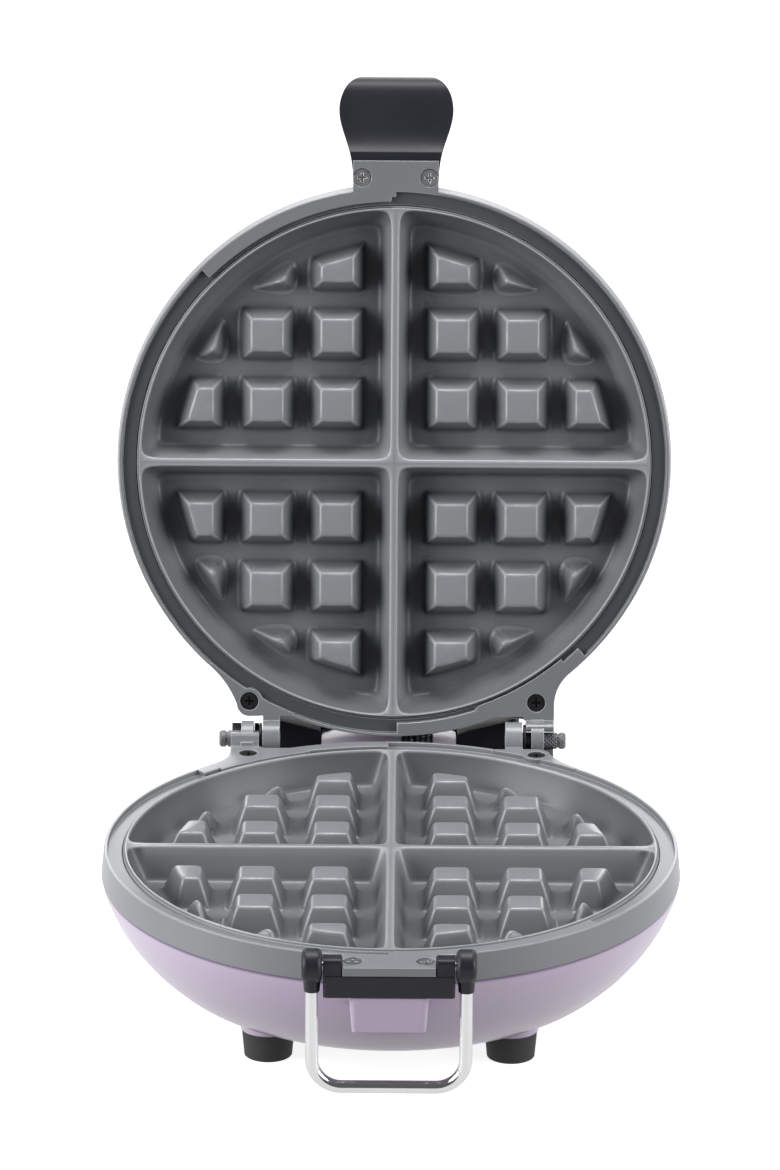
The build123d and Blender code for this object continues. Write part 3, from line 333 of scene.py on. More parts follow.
def one_peg(px, py, count=60):
    """One peg about its middle. It is the set where the rounded maximum of its planes' distances is zero:
    four leaning sides, the top, and for an outer peg the slanted cut. Rows go up the sides and over the
    top."""
    far = math.hypot(px, py)
    tip = far > TIP_FROM
    soft = 1.1 if tip else 0.5
    top = PEG_TOP_Z - FLOOR_Z
    sides = ((1, 0), (-1, 0), (0, 1), (0, -1))
    planes = [(x, y, PEG_LEAN, PEG_FOOT_HALF) for x, y in sides] + [(0, 0, 1, top)]
    middle_x, middle_y = 0.0, 0.0
    if far > CUT_FROM:
        out_x, out_y = px / far, py / far
        cut_r = CUT_R + 1.6 if tip else CUT_R
        planes.append((out_x, out_y, CUT_LEAN, cut_r + CUT_LEAN * top - far))
        # The rays start nearer the uncut side.
        middle_x, middle_y = -2.2 * out_x, -2.2 * out_y
    if tip:
        # The cut takes the whole top away, down to where it meets the inner corner.
        depth = (far - PEG_TOP_HALF * (out_x + out_y) - cut_r) / (CUT_LEAN + PEG_LEAN * (out_x + out_y))
        depth = max(0.3, depth)
        top = top - depth
        middle_x = middle_y = -(PEG_TOP_HALF + PEG_LEAN * depth)
    planes = np.array(planes, float)
    size = np.linalg.norm(planes[:, :3], axis=1)
    normal = planes[:, :3] / size[:, None]
    offset = (planes[:, 3] - planes[:, 0] * middle_x - planes[:, 1] * middle_y) / size
    shoulder = top - (3.6 if tip else 2.4)

    def to_skin(direction, base):
        """Distance along each direction, from the point at height base, to the rounded solid's skin, whose
        corners are rounder toward the foot. It is found by Newton's steps from the nearest plane."""
        blur = soft + 0.55 * np.clip(1 - base / shoulder, 0, 1)[..., None]
        rate = direction @ normal.T
        room = offset - normal[:, 2] * base[..., None]
        t = np.min(np.where(rate > 1e-4, room / np.maximum(rate, 1e-4), 1e6), -1)
        for _ in range(14):
            e = (rate * t[..., None] - room) / blur
            peak = e.max(-1, keepdims=True)
            w = np.exp(e - peak)
            value = blur[..., 0] * (peak[..., 0] + np.log(w.sum(-1)))
            slope = (w * rate).sum(-1) / w.sum(-1)
            t = np.maximum(t - value / np.maximum(slope, 1e-3), 0)
        return t

    ray = np.linspace(0, 2 * np.pi, 720, endpoint=False)
    flat = np.stack([np.cos(ray), np.sin(ray), np.zeros_like(ray)], -1)
    heights = [0.0, 0.05, 0.18, 0.4, 0.75, 1.2, 2.0, 2.9, shoulder * 0.6, shoulder * 0.8, shoulder]
    heights = np.array(heights)
    base = np.repeat(heights[:, None], len(ray), 1)
    reach = to_skin(np.broadcast_to(flat, (*base.shape, 3)), base)
    # A round fillet runs out onto the floor.
    fillet = 1.6
    low = np.clip(1 - heights / fillet, 0, 1)
    reach = reach + (fillet * (1 - np.sqrt(1 - low ** 2)))[:, None]
    x, y = evenly(middle_x + reach * flat[:, 0], middle_y + reach * flat[:, 1], count, 1.6)
    z = np.repeat(heights[:, None], count, 1)
    # Over the top: rays that climb from the shoulder, closest together at the top's edge.
    ring = np.hypot(x[-1] - middle_x, y[-1] - middle_y)
    ray = np.arctan2(y[-1] - middle_y, x[-1] - middle_x)
    edge = np.arctan2(top - shoulder, np.maximum(ring - 0.8, 0.4))
    share = np.array([0.35, 0.62, 0.78, 0.87, 0.93, 0.98, 1.02, 1.07, 1.14, 1.26])
    climb = np.minimum(edge[None] * share[:, None], 1.5)
    climb = np.concatenate([climb, np.full((1, count), 1.45), np.full((1, count), np.pi / 2)])
    climb = np.maximum.accumulate(climb, 0)
    direction = np.stack([np.cos(climb) * np.cos(ray), np.cos(climb) * np.sin(ray), np.sin(climb)], -1)
    t = to_skin(direction, np.full(climb.shape, shoulder))
    x = np.concatenate([x, middle_x + t * direction[..., 0]])
    y = np.concatenate([y, middle_y + t * direction[..., 1]])
    z = np.concatenate([z, shoulder + t * direction[..., 2]])
    points = np.stack([px + x, py + y, FLOOR_Z - 0.02 + z], -1)
    return points.reshape(-1, 3), grid_faces(len(z), count)


def turned_profile(profile, count):
    """A profile of (radius, z) carried once round the z axis."""
    a = np.linspace(0, 2 * np.pi, count, endpoint=False)
    r, z = np.asarray(profile, float).T
    points = np.stack([r[:, None] * np.cos(a), r[:, None] * np.sin(a), np.repeat(z[:, None], count, 1)], -1)
    return points.reshape(-1, 3), grid_faces(len(r), count)


def joined(parts):
    """Several (points, quads) made one."""
    points, quads, start = [], [], 0
    for p, q in parts:
        points.append(p)
        quads.append(q + start)
        start += len(p)
    return np.concatenate(points), np.concatenate(quads)


def quarter_turn(points, k):
    """Points turned k quarter turns about the z axis."""
    c, s = (1, 0, -1, 0)[k], (0, 1, 0, -1)[k]
    return np.c_[points[:, 0] * c - points[:, 1] * s, points[:, 0] * s + points[:, 1] * c, points[:, 2]]


def openness(points):
    """How open each point is, to paint shade into the hollows: one minus the mean, over 24 directions, of
    the squared sine of the steepest rise to the casting's own height field in that direction, with more
    weight across than along, as for light from the sides. Then, from 0 to 1, how high each point stands over
    the floor, and whether it is on the round wall."""
    limit, cell, directions = 100, 0.5, 24
    grid = np.arange(0, limit + cell, cell)
    gx, gy = np.meshgrid(grid, grid, indexing="ij")
    far = np.hypot(gx, gy)
    height = np.interp(far, (86.9, 92.5, 93.6, 94.0, 98.8, 99.1), (FLOOR_Z, -0.3, -0.3, -1.8, -1.8, 0.0))
    rib = np.interp(np.minimum(gx, gy), (0.9, 1.4, 4.9, 5.9), (RIB_TOP_Z, -1.1, -11.7, FLOOR_Z))
    height = np.where(far < 92, np.maximum(height, rib), height)
    for px, py in PEG_PLACES:
        side = np.maximum(abs(gx - px), abs(gy - py))
        peg = np.minimum(FLOOR_Z + (PEG_FOOT_HALF - side) / PEG_LEAN, PEG_TOP_Z)
        away = math.hypot(px, py)
        if away > CUT_FROM:
            peg = np.minimum(peg, PEG_TOP_Z - ((gx * px + gy * py) / away - CUT_R) / CUT_LEAN)
        height = np.maximum(height, peg)

    def height_at(x, y):
        """The height field of the cell that holds each point, which is the same in all four quarters."""
        i, j = (np.rint(np.minimum(abs(v), limit) / cell).astype(int) for v in (x, y))
        return height[i, j]

    x, y, z = np.asarray(points, float).T
    hidden = np.zeros(len(x))
    for angle in np.arange(directions) * 2 * math.pi / directions:
        steepest = np.zeros(len(x))
        for run in (0.7, 1.3, 2.0, 3.0, 4.2, 5.6, 7.2, 9.0, 11.5, 15.0, 20.0, 26.0):
            rise = height_at(x + run * math.cos(angle), y + run * math.sin(angle)) - z
            steepest = np.maximum(steepest, rise / run)
        hidden += (0.4 + 1.2 * math.cos(angle) ** 2) * steepest ** 2 / (1 + steepest ** 2)
    # The floor goes on under the pegs, where it gets one middling value.
    seen = np.where(height_at(x, y) > z + 3, 0.5, 1 - hidden / directions)
    wall = np.clip((np.hypot(x, y) - 86.0) / 2, 0, 1) * np.clip((-0.75 - z) / 0.7, 0, 1)
    return seen, np.clip((z + 11.5) / 6, 0, 1), wall


def sharpness(points, quads):
    """How far each point is on an outward edge: the greatest turn of the skin's normal for each millimetre
    along the lines to its neighbours, counted only where the skin turns away, from 0 to 1."""
    corners = points[quads]
    across = np.cross(corners[:, 2] - corners[:, 0], corners[:, 3] - corners[:, 1])
    normal = np.zeros_like(points)
    for k in range(4):
        np.add.at(normal, quads[:, k], across)
    normal /= np.maximum(np.linalg.norm(normal, axis=1, keepdims=True), 1e-9)
    turn = np.zeros(len(points))
    for k in range(4):
        i, j = quads[:, k], quads[:, (k + 1) % 4]
        run = points[j] - points[i]
        rate = ((normal[j] - normal[i]) * run).sum(1) / np.maximum((run ** 2).sum(1), 0.01)
        np.maximum.at(turn, i, rate)
        np.maximum.at(turn, j, rate)
    return np.clip((turn - 0.45) / 0.5, 0, 1)


quarter = [pocket_quarter()] + [one_peg(px, py) for px, py in PEG_PLACES]
plate_parts = [(quarter_turn(p, k), q) for k in range(4) for p, q in quarter]
plate_parts.append(turned_profile([
    (0, PLATE_FOOT_Z), (89.7, PLATE_FOOT_Z), (89.95, -16.1), (90.1, -15.8), (92.3, -5.2), (92.4, -5.0),
    (93.5, -5.0), (93.6, -4.9), (93.6, -1.3), (93.5, -1.2), (93.15, -1.0), (92.95, -0.8), (92.88, -0.45),
    (92.8, -0.34), (92.72, -0.3), (LIP_R, -0.3),
], 288))
for k in range(3):
    boss, quads = turned_profile([(0.0, -18.0), (1.5, -18.0), (4.8, -18.0), (5.0, -17.8), (5.0, -16.1)], 28)
    turn = BOSS_FIRST + k * BOSS_STEP
    plate_parts.append((boss + np.array([BOSS_R * math.cos(turn), BOSS_R * math.sin(turn), 0]), quads))
plate_parts.append(turned_profile([(0, -18.4), (12.7, -18.4), (13.0, -18.1), (13.0, -16.1)], 48))
plate_points, plate_quads = joined(plate_parts)
cast_count = 4 * sum(len(p) for p, q in quarter)
plate_shade = np.zeros((3, len(plate_points)))
plate_shade[0] = 1
plate_shade[:, :cast_count] = openness(plate_points[:cast_count])
# The small corner tips count as standing full height, so less shade is painted on their slanted cuts.
tips = [math.hypot(*spot) > TIP_FROM for spot in [(0, 0)] + PEG_PLACES]
tips = np.concatenate([np.full(len(p), tip) for tip, (p, q) in zip(tips, quarter)])
plate_shade[1, :cast_count] = np.maximum(plate_shade[1, :cast_count], np.tile(tips, 4))
# The gap round the lip gets one middling openness, so shade is painted there.
lip_gap = (np.hypot(plate_points[:, 0], plate_points[:, 1]) > 92.9) & (plate_points[:, 2] < -0.7)
plate_shade[0, lip_gap] = 0.5
plate_edge = sharpness(plate_points, plate_quads)


def new_look(name, colour, roughness):
    """A material with its shader's plain values set."""
    look = bpy.data.materials.new(name)
    look.use_nodes = True
    shader = look.node_tree.nodes["Principled BSDF"]
    shader.inputs["Base Color"].default_value = (*colour, 1)
    shader.inputs["Roughness"].default_value = roughness
    look.diffuse_color = (*colour, 1)
    return look


def inside(look):
    """A material's tree and the inputs of its shader."""
    return look.node_tree, look.node_tree.nodes["Principled BSDF"].inputs


def fed(socket):
    """The output that feeds a socket."""
    return socket.links[0].from_socket


def new_group(name, inputs, outputs):
    """A shader node group from its inputs' names and values and its outputs' names. A value that is no
    float is a colour. Returns the group, then its inputs and its outputs as seen inside."""
    group = bpy.data.node_groups.new(name, "ShaderNodeTree")
    for label, value in inputs.items():
        kind = "NodeSocketFloat" if isinstance(value, float) else "NodeSocketColor"
        group.interface.new_socket(label, in_out="INPUT", socket_type=kind).default_value = value
    for label in outputs:
        kind = "NodeSocketColor" if label == "Colour" else "NodeSocketFloat"
        group.interface.new_socket(label, in_out="OUTPUT", socket_type=kind)
    return group, group.nodes.new("NodeGroupInput").outputs, group.nodes.new("NodeGroupOutput").inputs


def placed(tree, group, **values):
    """A node group in a material's tree, with its inputs fed. Returns its outputs. An underscore in a
    keyword stands for a space."""
    node = tree.nodes.new("ShaderNodeGroup")
    node.node_tree = group
    feed(tree, values.values(), [node.inputs[label.replace("_", " ")] for label in values])
    return node.outputs


def noise(tree, place, scale, detail=2):
    """A cloudy pattern from 0 to 1 over the place."""
    node = tree.nodes.new("ShaderNodeTexNoise")
    feed(tree, (place, scale, detail), (node.inputs["Vector"], node.inputs["Scale"], node.inputs["Detail"]))
    return node.outputs["Fac"]


# Mottle: colour and gloss drift slowly over a surface and a fine grain stands on it.
DARK_GREY, MID_GREY = (0.2, 0.2, 0.2, 1), (0.3, 0.3, 0.3, 1)
mottle, given, result = new_group(
    "mottle", {"Colour A": DARK_GREY, "Colour B": MID_GREY, "Gloss A": 0.3, "Gloss B": 0.4,
               "Patch Scale": 40.0, "Grain Scale": 1500.0}, ("Colour", "Gloss", "Height"))
spot = mottle.nodes.new("ShaderNodeTexCoord").outputs["Object"]
patches = noise(mottle, spot, given["Patch Scale"], 4)
feed(mottle, (mixed(mottle, patches, given["Colour A"], given["Colour B"]),
              ramp(mottle, patches, 0.0, 1.0, given["Gloss A"], given["Gloss B"]),
              noise(mottle, spot, given["Grain Scale"])), result)

# Hollow shade: where the mask is low, shade is painted. The colour and the coat's shine sink to a share, and
# the skin is duller.
HOLLOW_DULL = 0.26
hollow_shade, given, result = new_group(
    "hollow_shade", {"Colour": DARK_GREY, "Gloss": 0.3, "Shine": 0.0, "Mask": 1.0, "Share": 0.5,
               "Low": 0.0, "High": 1.0}, ("Colour", "Gloss", "Shine"))
left = ramp(hollow_shade, given["Mask"], given["Low"], given["High"], given["Share"], 1.0)
dull = math_node(hollow_shade, "MULTIPLY_ADD", left, -HOLLOW_DULL, given["Gloss"])
feed(hollow_shade, (mixed(hollow_shade, 1, given["Colour"], left, "MULTIPLY"),
              math_node(hollow_shade, "ADD", dull, HOLLOW_DULL),
              math_node(hollow_shade, "MULTIPLY", left, given["Shine"])), result)

# Edge highlight: a highlight is painted along a coat's edges as a paler colour, where the mask is high.
edge_highlight, given, result = new_group(
    "edge_highlight", {"Colour": DARK_GREY, "Mask": 0.0, "Pale": MID_GREY, "Most": 0.5}, ("Colour",))
highlight_share = math_node(edge_highlight, "MULTIPLY", given["Mask"], given["Most"])
feed(edge_highlight, (mixed(edge_highlight, highlight_share, given["Colour"], given["Pale"]),), result)


def mottled(name, colour_a, colour_b, gloss_a, gloss_b, patch, grain, depth,
            edge=0.0, metallic=0.0, coat=0.0):
    """A material from the mottle group. The grain's height is depth in metres, and edge is the radius to
    which a CAD node's corners look rounded."""
    look = new_look(name, [(p + q) / 2 for p, q in zip(colour_a, colour_b)], gloss_a)
    tree, shader = inside(look)
    shader["Metallic"].default_value = metallic
    shader["Coat Weight"].default_value = coat
    finish = placed(tree, mottle, Colour_A=(*colour_a, 1), Colour_B=(*colour_b, 1), Gloss_A=gloss_a,
                    Gloss_B=gloss_b, Patch_Scale=patch, Grain_Scale=grain)
    bump = tree.nodes.new("ShaderNodeBump")
    bump.inputs["Strength"].default_value = 1.0
    bump.inputs["Distance"].default_value = depth
    tree.links.new(finish["Height"], bump.inputs["Height"])
    feed(tree, (finish["Colour"], finish["Gloss"], bump.outputs["Normal"]),
         (shader["Base Color"], shader["Roughness"], shader["Normal"]))
    if edge:
        rounded = tree.nodes.new("ShaderNodeBevel")
        rounded.samples = 6
        rounded.inputs["Radius"].default_value = edge
        tree.links.new(rounded.outputs["Normal"], bump.inputs["Normal"])
    return look


def hollowed(look, mask, share, low=0.0, high=1.0):
    """Puts the hollow_shade group in a look, painting shade with share where mask is low."""
    tree, shader = inside(look)
    finish = placed(tree, hollow_shade, Colour=fed(shader["Base Color"]), Gloss=fed(shader["Roughness"]),
                    Shine=shader["Coat Weight"].default_value, Mask=mask, Share=share, Low=low, High=high)
    feed(tree, finish, (shader["Base Color"], shader["Roughness"], shader["Coat Weight"]))


def rubbed(look, mask, pale, most):
    """Puts the edge_highlight group in a look, painting a highlight in the colour pale where mask is high.
    """
    tree, shader = inside(look)
    finish = placed(tree, edge_highlight, Colour=fed(shader["Base Color"]), Mask=mask, Pale=(*pale, 1), Most=most)
    tree.links.new(finish[0], shader["Base Color"])


def attribute(tree, name):
    """The outputs of a piece's own attribute."""
    node = tree.nodes.new("ShaderNodeAttribute")
    node.attribute_name = name
    return node.outputs


coating = mottled("satin_grey_coating", (0.213, 0.222, 0.236), (0.242, 0.252, 0.268),
                  0.30, 0.37, 55, 900, 0.00001, coat=0.42)
tree, shader = inside(coating)
shader["Coat Roughness"].default_value = 0.2
shader["Specular IOR Level"].default_value = 0.34
# Shade is painted darker into the plates' hollows, and the coat's shine is cut there.
hollowed(coating, attribute(tree, "painted_shade_openness")["Fac"], 0.14, 0.37, 0.96)
# Highlights are painted pale along the plates' edges.
rubbed(coating, attribute(tree, "painted_edge_highlight")["Fac"], (0.46, 0.47, 0.49), 0.38)
# depth is how strongly the painted shade in the hollows tells, relief how much less the peg tops get, and
# wall the mask's value on the round wall, which paints the wall lighter towards its foot. The lid's plate
# gets stronger painted shade, but less on its peg tops.
for name, place, body, hidden, depth, relief, wall in (
        ("lower_cooking_plate", lower, "base", "base_plate", 0.70, 0.0, 0.50),
        ("upper_cooking_plate", upper, "lid", "lid_plate", 1.0, 0.60, 0.63)):
    piece = new_piece(name, place(plate_points), plate_quads, coating, body)
    plate_unshaded_share = 1 - depth * (1 - plate_shade[0]) * (1 - relief * plate_shade[1])
    down = np.clip((-2 - plate_points[:, 2]) / 9, 0, 1)
    plate_unshaded_share += (wall + 0.16 * down - plate_unshaded_share) * plate_shade[2]
    piece.data.attributes.new("painted_shade_openness", "FLOAT", "POINT").data.foreach_set("value", plate_unshaded_share)
    piece.data.attributes.new("painted_edge_highlight", "FLOAT", "POINT").data.foreach_set("value", plate_edge)
    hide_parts(hidden)

# Cast frames. Each plate sits in a cast ring with hinge lugs behind and a tongue in front, screwed to its
# housing. Both rings have the same grey coating, but for light and shade the lower ring's colour is painted
# lighter and the upper's darker. Shade is painted in the low ledge round the plate, more on the upper ring,
# and highlights are painted pale along edges.
LEDGE_R = (0.0990, 0.0994)
LEDGE_Z = (-0.0013, -0.0002)


def dress(look, *names):
    """Gives CAD nodes their material."""
    for name in names:
        mesh = nodes[name].data
        mesh.materials.clear()
        mesh.materials.append(look)


def vector_node(tree, operation, *values):
    """The result of one Vector Math node on the values."""
    node = tree.nodes.new("ShaderNodeVectorMath")
    node.operation = operation
    feed(tree, values, node.inputs)
    return node.outputs["Vector" if operation == "SUBTRACT" else "Value"]


def on_half(tree, place):
    """A point's distance from the middle of its half's face, and its height over that face, in metres."""
    middle, over = place([(0, 0, 0), (0, 0, 1000)])
    spot = tree.nodes.new("ShaderNodeTexCoord").outputs["Object"]
    away = vector_node(tree, "SUBTRACT", spot, middle)
    return vector_node(tree, "LENGTH", away), vector_node(tree, "DOT_PRODUCT", away, over - middle)


# share is how far the painted ledge shade darkens each ring, and the factor paints the lower ring lighter
# and the upper darker.
for name, place, hidden, share, painted_light_tone in (("satin_grey_lower_casting", lower, "base_frame", 0.80, 1.12),
                                         ("satin_grey_upper_casting", upper, "lid_frame", 0.36, 0.88)):
    cast = mottled(name, (0.170 * painted_light_tone, 0.177 * painted_light_tone, 0.190 * painted_light_tone),
                   (0.205 * painted_light_tone, 0.213 * painted_light_tone, 0.228 * painted_light_tone),
                   0.33, 0.42, 45, 800, 0.000016, edge=0.0005, coat=0.30)
    tree, shader = inside(cast)
    shader["Coat Roughness"].default_value = 0.2
    away, over = on_half(tree, place)
    # Shade is painted in the ledge between the rim and the lip.
    off_shaded_ledge = math_node(tree, "MAXIMUM", ramp(tree, away, *LEDGE_R), ramp(tree, over, *LEDGE_Z))
    hollowed(cast, off_shaded_ledge, share)
    # An edge is where the rounded normal leaves the true one, and a highlight is painted pale there.
    rounded = next(n for n in tree.nodes if n.type == "BEVEL").outputs["Normal"]
    plain = tree.nodes.new("ShaderNodeNewGeometry").outputs["True Normal"]
    on_edge = ramp(tree, vector_node(tree, "DOT_PRODUCT", rounded, plain), 0.99, 0.86)
    rubbed(cast, on_edge, (0.56, 0.57, 0.59), 0.85)
    dress(cast, hidden)

# Housings. A deep-drawn bowl below and a dome above, both in a smooth lilac satin enamel, screwed to the
# frames. A dark band is painted along the rim that goes up under the casting, as the casting's shadow.
RIM_LOW = (-0.0112, -0.0102)
RIM_HIGH = (-0.0094, -0.0090)
for name, place, hidden in (("lilac_bowl_enamel", lower, "base_shell"),
                            ("lilac_dome_enamel", upper, "lid_shell")):
    enamel = mottled(name, (0.560, 0.470, 0.625), (0.600, 0.510, 0.660),
                     0.30, 0.36, 18, 260, 0.000012, edge=0.0006, coat=0.35)
    tree, shader = inside(enamel)
    shader["Coat Roughness"].default_value = 0.12
    over = on_half(tree, place)[1]
    # The painted shadow band, just under the casting.
    rim = math_node(tree, "MULTIPLY", ramp(tree, over, *RIM_LOW), ramp(tree, over, *RIM_HIGH, 1, 0))
    shaded_rim = mixed(tree, rim, fed(shader["Base Color"]), (0.15, 0.10, 0.20, 1))
    tree.links.new(shaded_rim, shader["Base Color"])
    dress(enamel, hidden)

# Heating. A sheathed element and a bright aluminium dish sit behind each plate. Plated screws go
# through the dish and the frame's feet into the plate. Cut-out, thermostat, spindle, the bail's pins
# and the screws of the feet are plated the same.
dress(mottled("stained_heater_sheath", (0.18, 0.15, 0.13), (0.33, 0.30, 0.29),
              0.35, 0.55, 120, 1400, 0.00001, metallic=0.85), "base_heater", "lid_heater")
dress(mottled("bright_aluminium_sheet", (0.78, 0.79, 0.80), (0.86, 0.87, 0.88),
              0.18, 0.30, 60, 1500, 0.000006, edge=0.0003, metallic=1.0), "base_reflector", "lid_reflector")
dress(mottled("plated_steel", (0.50, 0.50, 0.50), (0.62, 0.61, 0.60),
              0.22, 0.36, 150, 2500, 0.000006, edge=0.0002, metallic=1.0),
      "base_plate_screws", "lid_plate_screws", "bail_pins", "foot_screws", "heat_cutout", "thermostat",
      "dial_spindle")

# Hinge. A steel pin in each T-shaped lug carries the lid, drawn plain in the lower half and cut with
# a fine diamond knurl in the upper. Black oxide screws hold the frames and the stand to the housings.
dress(mottled("black_oxide_steel", (0.012, 0.012, 0.013), (0.030, 0.030, 0.032),
              0.28, 0.42, 200, 2500, 0.000008, edge=0.0002, metallic=0.6),
      "base_hinge_screws", "lid_hinge_screws", "stand_screws")
dress(mottled("drawn_pin_steel", (0.13, 0.13, 0.14), (0.20, 0.20, 0.21),
              0.50, 0.62, 260, 1800, 0.00002, edge=0.0003, metallic=0.7), "base_hinge_pin")
KNURL_ALONG = 4200.0
KNURL_AROUND = 13.0


def slanted_wave(tree, first, rate, second, other_rate):
    """The sine of rate times first plus other_rate times second."""
    other = math_node(tree, "MULTIPLY", second, other_rate)
    return math_node(tree, "SINE", math_node(tree, "MULTIPLY_ADD", first, rate, other))


knurled = mottled("knurled_pin_steel", (0.12, 0.12, 0.13), (0.22, 0.22, 0.23),
                  0.42, 0.56, 300, 1800, 0.00002, edge=0.0003, metallic=0.8)
tree, shader = inside(knurled)
spot = tree.nodes.new("ShaderNodeTexCoord").outputs["Object"]
axes = axes_of(tree, vector_node(tree, "SUBTRACT", spot, hinge_pos))
turn = math_node(tree, "ARCTAN2", axes["Z"], axes["Y"])
ridges = [slanted_wave(tree, axes["X"], slant, turn, KNURL_AROUND) for slant in (KNURL_ALONG, -KNURL_ALONG)]
cut = tree.nodes.new("ShaderNodeBump")
cut.inputs["Distance"].default_value = 0.00012
tree.links.new(math_node(tree, "MINIMUM", *ridges), cut.inputs["Height"])
tree.links.new(fed(shader["Normal"]), cut.inputs["Normal"])
tree.links.new(cut.outputs["Normal"], shader["Normal"])
dress(knurled, "lid_hinge_pin")

# Black mouldings. Clips, bail block and knuckles, rear stand and grip are moulded in black phenolic,
# satin from the tool.
phenolic = mottled("black_phenolic", (0.007, 0.007, 0.012), (0.013, 0.013, 0.021),
                   0.38, 0.50, 60, 1700, 0.00002, edge=0.0006)
inside(phenolic)[1]["Specular IOR Level"].default_value = 0.35
dress(phenolic, "base_hinge_clip", "lid_hinge_clip", "bail_block", "bail_knuckles", "rear_stand", "lid_grip")

# Bail and tongues. A polished wire loop swings from two round knuckles beside the lower tongue. Bright
# zinc screws go through each tongue into the block below and the grip above.
dress(mottled("polished_steel", (0.62, 0.62, 0.63), (0.68, 0.68, 0.69),
              0.08, 0.16, 70, 2500, 0.000003, edge=0.0002, metallic=1.0), "bail")
dress(mottled("bright_zinc_plate", (0.52, 0.52, 0.54), (0.62, 0.62, 0.63),
              0.20, 0.30, 200, 2500, 0.000006, edge=0.0002, metallic=0.95),
      "base_tongue_screws", "lid_tongue_screws")

# Feet and bushing. Four round feet, the pads under the stand and the bushing for the cord, moulded in
# dull black rubber.
dress(mottled("black_rubber", (0.018, 0.018, 0.018), (0.032, 0.031, 0.030),
              0.62, 0.80, 60, 1200, 0.00003, edge=0.0005), "rubber_feet", "stand_pads", "cord_gland")

# Wiring. A ceramic screw block and two silicone leads inside the bowl, a ceramic lamp carrier in the
# dome, and the black woven sleeve that takes the wires over the neck from one to the other.
dress(mottled("white_ceramic", (0.80, 0.79, 0.75), (0.86, 0.85, 0.81),
              0.45, 0.6, 50, 1300, 0.00002, edge=0.0004), "terminal_block", "lamp_carrier")
dress(mottled("cream_silicone", (0.66, 0.61, 0.52), (0.74, 0.70, 0.62),
              0.45, 0.6, 80, 1300, 0.00001), "base_leads")
SLEEVE_WIDTH = 9.6
SLEEVE_THICK = 2.3
SLEEVE_ROUTE = [(9, 80.0, -27.2), (9, 90.0, -26.4), (9, 97.0, -25.6), (9, 102.6, -21.0), (9, 104.9, -18.0),
                (9, 104.9, -9.0), (9, 105.2, -5.2), (9, 109.5, -4.6), (9, 114.5, -4.8), (9, 116.9, -3.6),
                (9, 116.8, 1.2), (9, 115.4, 6.4)]
STRAND_SLANT = 1.5
STRAND_ALONG = 1.9


def flat_sleeve(route, width, thick, rows=150, columns=48):
    """A flattened tube along the route, a cubic B-spline of its points. Each section is a superellipse,
    width across and thick through. Returns its points, its quads, and each point's way along and across."""
    p = np.asarray(route, float)
    p = np.concatenate([2 * p[:1] - p[1:2], p, 2 * p[-1:] - p[-2:-1]])
    t = np.linspace(0, len(p) - 3 - 1e-9, rows)
    k = t.astype(int)
    f = (t - k)[:, None]
    line = ((1 - f) ** 3 * p[k] + (3 * f ** 3 - 6 * f ** 2 + 4) * p[k + 1]
            + (-3 * f ** 3 + 3 * f ** 2 + 3 * f + 1) * p[k + 2] + f ** 3 * p[k + 3]) / 6
    ahead = np.gradient(line, axis=0)
    ahead /= np.linalg.norm(ahead, axis=1, keepdims=True)
    side = np.array([1.0, 0, 0])
    out = np.cross(ahead, side)
    a = np.linspace(0, 2 * np.pi, columns, endpoint=False)
    u = np.sign(np.cos(a)) * abs(np.cos(a)) ** 0.35 * width / 2
    v = np.sign(np.sin(a)) * abs(np.sin(a)) ** 0.8 * thick / 2
    points = line[:, None] + u[None, :, None] * side + v[None, :, None] * out[:, None]
    run = np.r_[0, np.cumsum(np.linalg.norm(np.diff(line, axis=0), axis=1))]
    weave = np.stack(np.broadcast_arrays(run[:, None], u[None, :], 0.0), -1)
    return points.reshape(-1, 3), grid_faces(rows, columns), weave.reshape(-1, 3)


# Two sets of strands cross over each other. The cloth stands up at the crossings, and a pale tracer
# thread shows on some of them.
braid = mottled("black_woven_sleeve", (0.010, 0.011, 0.012), (0.022, 0.022, 0.024),
                0.55, 0.75, 300, 2600, 0.00003)
tree, shader = inside(braid)
woven = attribute(tree, "weave")["Vector"]
axes = axes_of(tree, woven)
strands = [slanted_wave(tree, axes["Y"], slant, axes["X"], STRAND_ALONG)
           for slant in (STRAND_SLANT, -STRAND_SLANT)]
crossing = math_node(tree, "MULTIPLY", *strands)
cloth = tree.nodes.new("ShaderNodeBump")
cloth.inputs["Distance"].default_value = 0.0002
tree.links.new(crossing, cloth.inputs["Height"])
tree.links.new(cloth.outputs["Normal"], shader["Normal"])
picked = math_node(tree, "GREATER_THAN", noise(tree, woven, 0.8), 0.5)
shown = math_node(tree, "MULTIPLY", ramp(tree, crossing, 0.05, 0.30), picked)
tracer = mixed(tree, shown, fed(shader["Base Color"]), (0.66, 0.78, 0.74, 1))
tree.links.new(tracer, shader["Base Color"])
tube, quads, weave = flat_sleeve(SLEEVE_ROUTE, SLEEVE_WIDTH, SLEEVE_THICK)
piece = new_piece("woven_wire_sleeve", lower(tube), quads, braid, None)
piece.data.attributes.new("weave", "FLOAT_VECTOR", "POINT").data.foreach_set("vector", weave.ravel())
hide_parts("wire_sleeve")
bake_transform(piece)

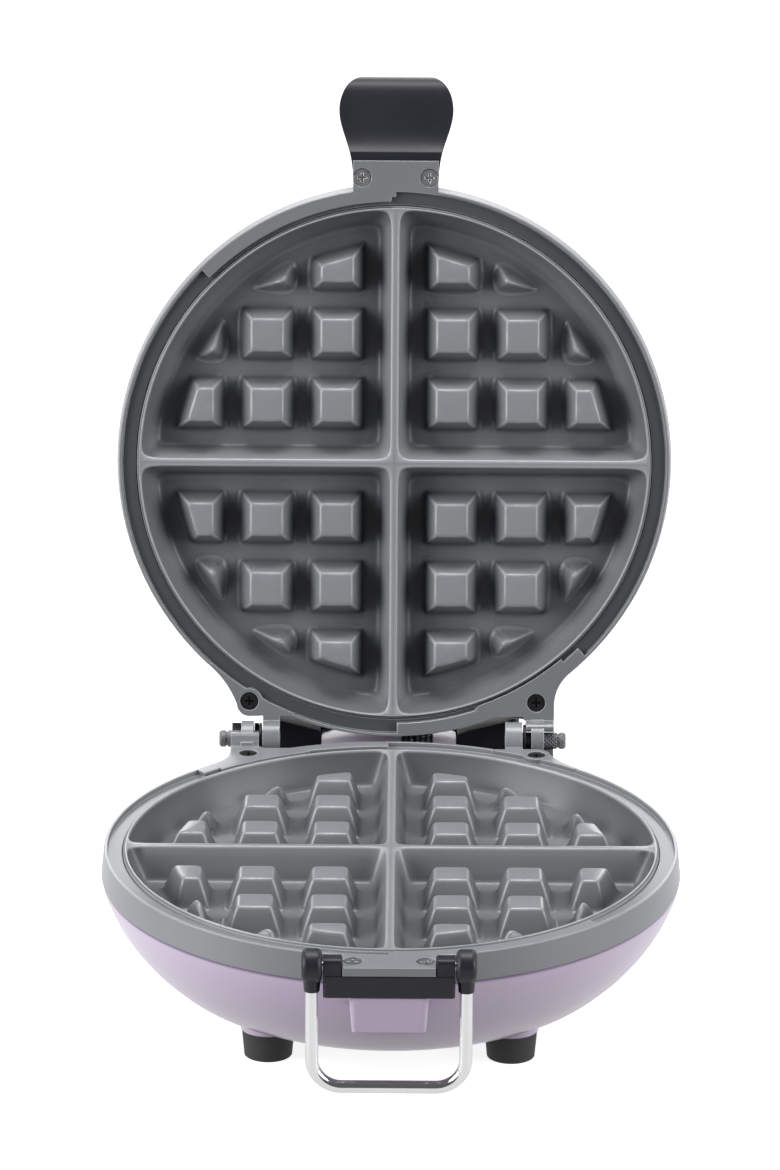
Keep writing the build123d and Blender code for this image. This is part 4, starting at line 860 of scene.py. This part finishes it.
# Dial. A black moulded dial turns on the thermostat's spindle in the middle of the dome, with a mark of
# pale paint as its pointer. Plain numbers 1 to 5 are printed on the dome round it, clockwise.
SEAT_Z = -51.2
NUMBER_R = 0.0204
NUMBER_SIZE = 0.0052
LAST_NUMBER_DEG = 27
NUMBER_STEP_DEG = 54
MARK_FROM, MARK_TO = 6.6, 11.2
dress(mottled("satin_black_dial", (0.014, 0.014, 0.016), (0.022, 0.022, 0.025),
              0.26, 0.34, 60, 1500, 0.00001, edge=0.0004), "dial")
legend = mottled("grey_printed_numbers", (0.026, 0.022, 0.030), (0.040, 0.036, 0.044),
                 0.45, 0.55, 80, 1500, 0.000004)


def on_seat(turn):
    """Matrix that lays flat work on the dome's seat: x and y in its plane, turned about the dial, and z
    outward."""
    spots = upper([(0, 0, SEAT_Z), (math.cos(turn), math.sin(turn), SEAT_Z), (0, 0, SEAT_Z - 1)])
    x_way = Vector(spots[1] - spots[0]).normalized()
    z_way = Vector(spots[2] - spots[0]).normalized()
    axes = Matrix((x_way, z_way.cross(x_way), z_way)).transposed().to_4x4()
    return Matrix.Translation(Vector(spots[0])) @ axes


def flat_mesh(source, name, matrix, look, body):
    """A text made a mesh with its place in its points."""
    mesh = bpy.data.meshes.new_from_object(source)
    mesh.transform(matrix)
    bpy.data.objects.remove(source)
    piece = bpy.data.objects.new(name, mesh)
    scene.collection.objects.link(piece)
    mesh.materials.clear()
    mesh.materials.append(look)
    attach(piece, body)


on_rim = Matrix.Translation((NUMBER_R, 0, 0.00008)) @ Matrix.Rotation(-math.pi / 2, 4, "Z")
for number in range(1, 6):
    turn = math.radians(LAST_NUMBER_DEG + (5 - number) * NUMBER_STEP_DEG)
    curve = bpy.data.curves.new("number", "FONT")
    curve.body = str(number)
    curve.size = NUMBER_SIZE
    curve.align_x = "CENTER"
    curve.align_y = "CENTER"
    curve.extrude = 0.00006
    curve.offset = 0.00011
    text = bpy.data.objects.new("number", curve)
    scene.collection.objects.link(text)
    spot = on_seat(math.pi / 2 - turn) @ on_rim
    flat_mesh(text, "dial_number_" + str(number), spot, legend, "lid")

pointer_paint = mottled("pale_pointer_paint", (0.66, 0.66, 0.65), (0.74, 0.74, 0.73),
                        0.40, 0.50, 80, 1500, 0.000004)
# The mark is a low disc pulled out into a stadium, from its inner end to its outer one.
mark, quads = turned_profile([(0, -68.32), (0.5, -68.32), (0.62, -68.29), (0.66, -68.24), (0.66, -68.1)], 40)
mark = mark + np.where(mark[:, 1:2] > 1e-9, [0, MARK_TO, 0], [0, MARK_FROM, 0])
new_piece("dial_pointer_mark", upper(mark), quads, pointer_paint, "dial", False)


# Lamps. Two small bulbs sit in the carrier behind a red and a green lens, pressed into the dome. Lenses
# are clear moulded plastic and the bulbs are glass.
def tinted(name, colour, roughness):
    """Clear moulded plastic or glass of one colour."""
    look = new_look(name, colour, roughness)
    shader = inside(look)[1]
    shader["Transmission Weight"].default_value = 0.75
    shader["IOR"].default_value = 1.49
    return look


dress(tinted("red_lens", (0.75, 0.03, 0.02), 0.12), "power_lens")
dress(tinted("green_lens", (0.03, 0.55, 0.10), 0.12), "ready_lens")
dress(tinted("bulb_glass", (0.93, 0.93, 0.91), 0.03), "lamp_bulbs")
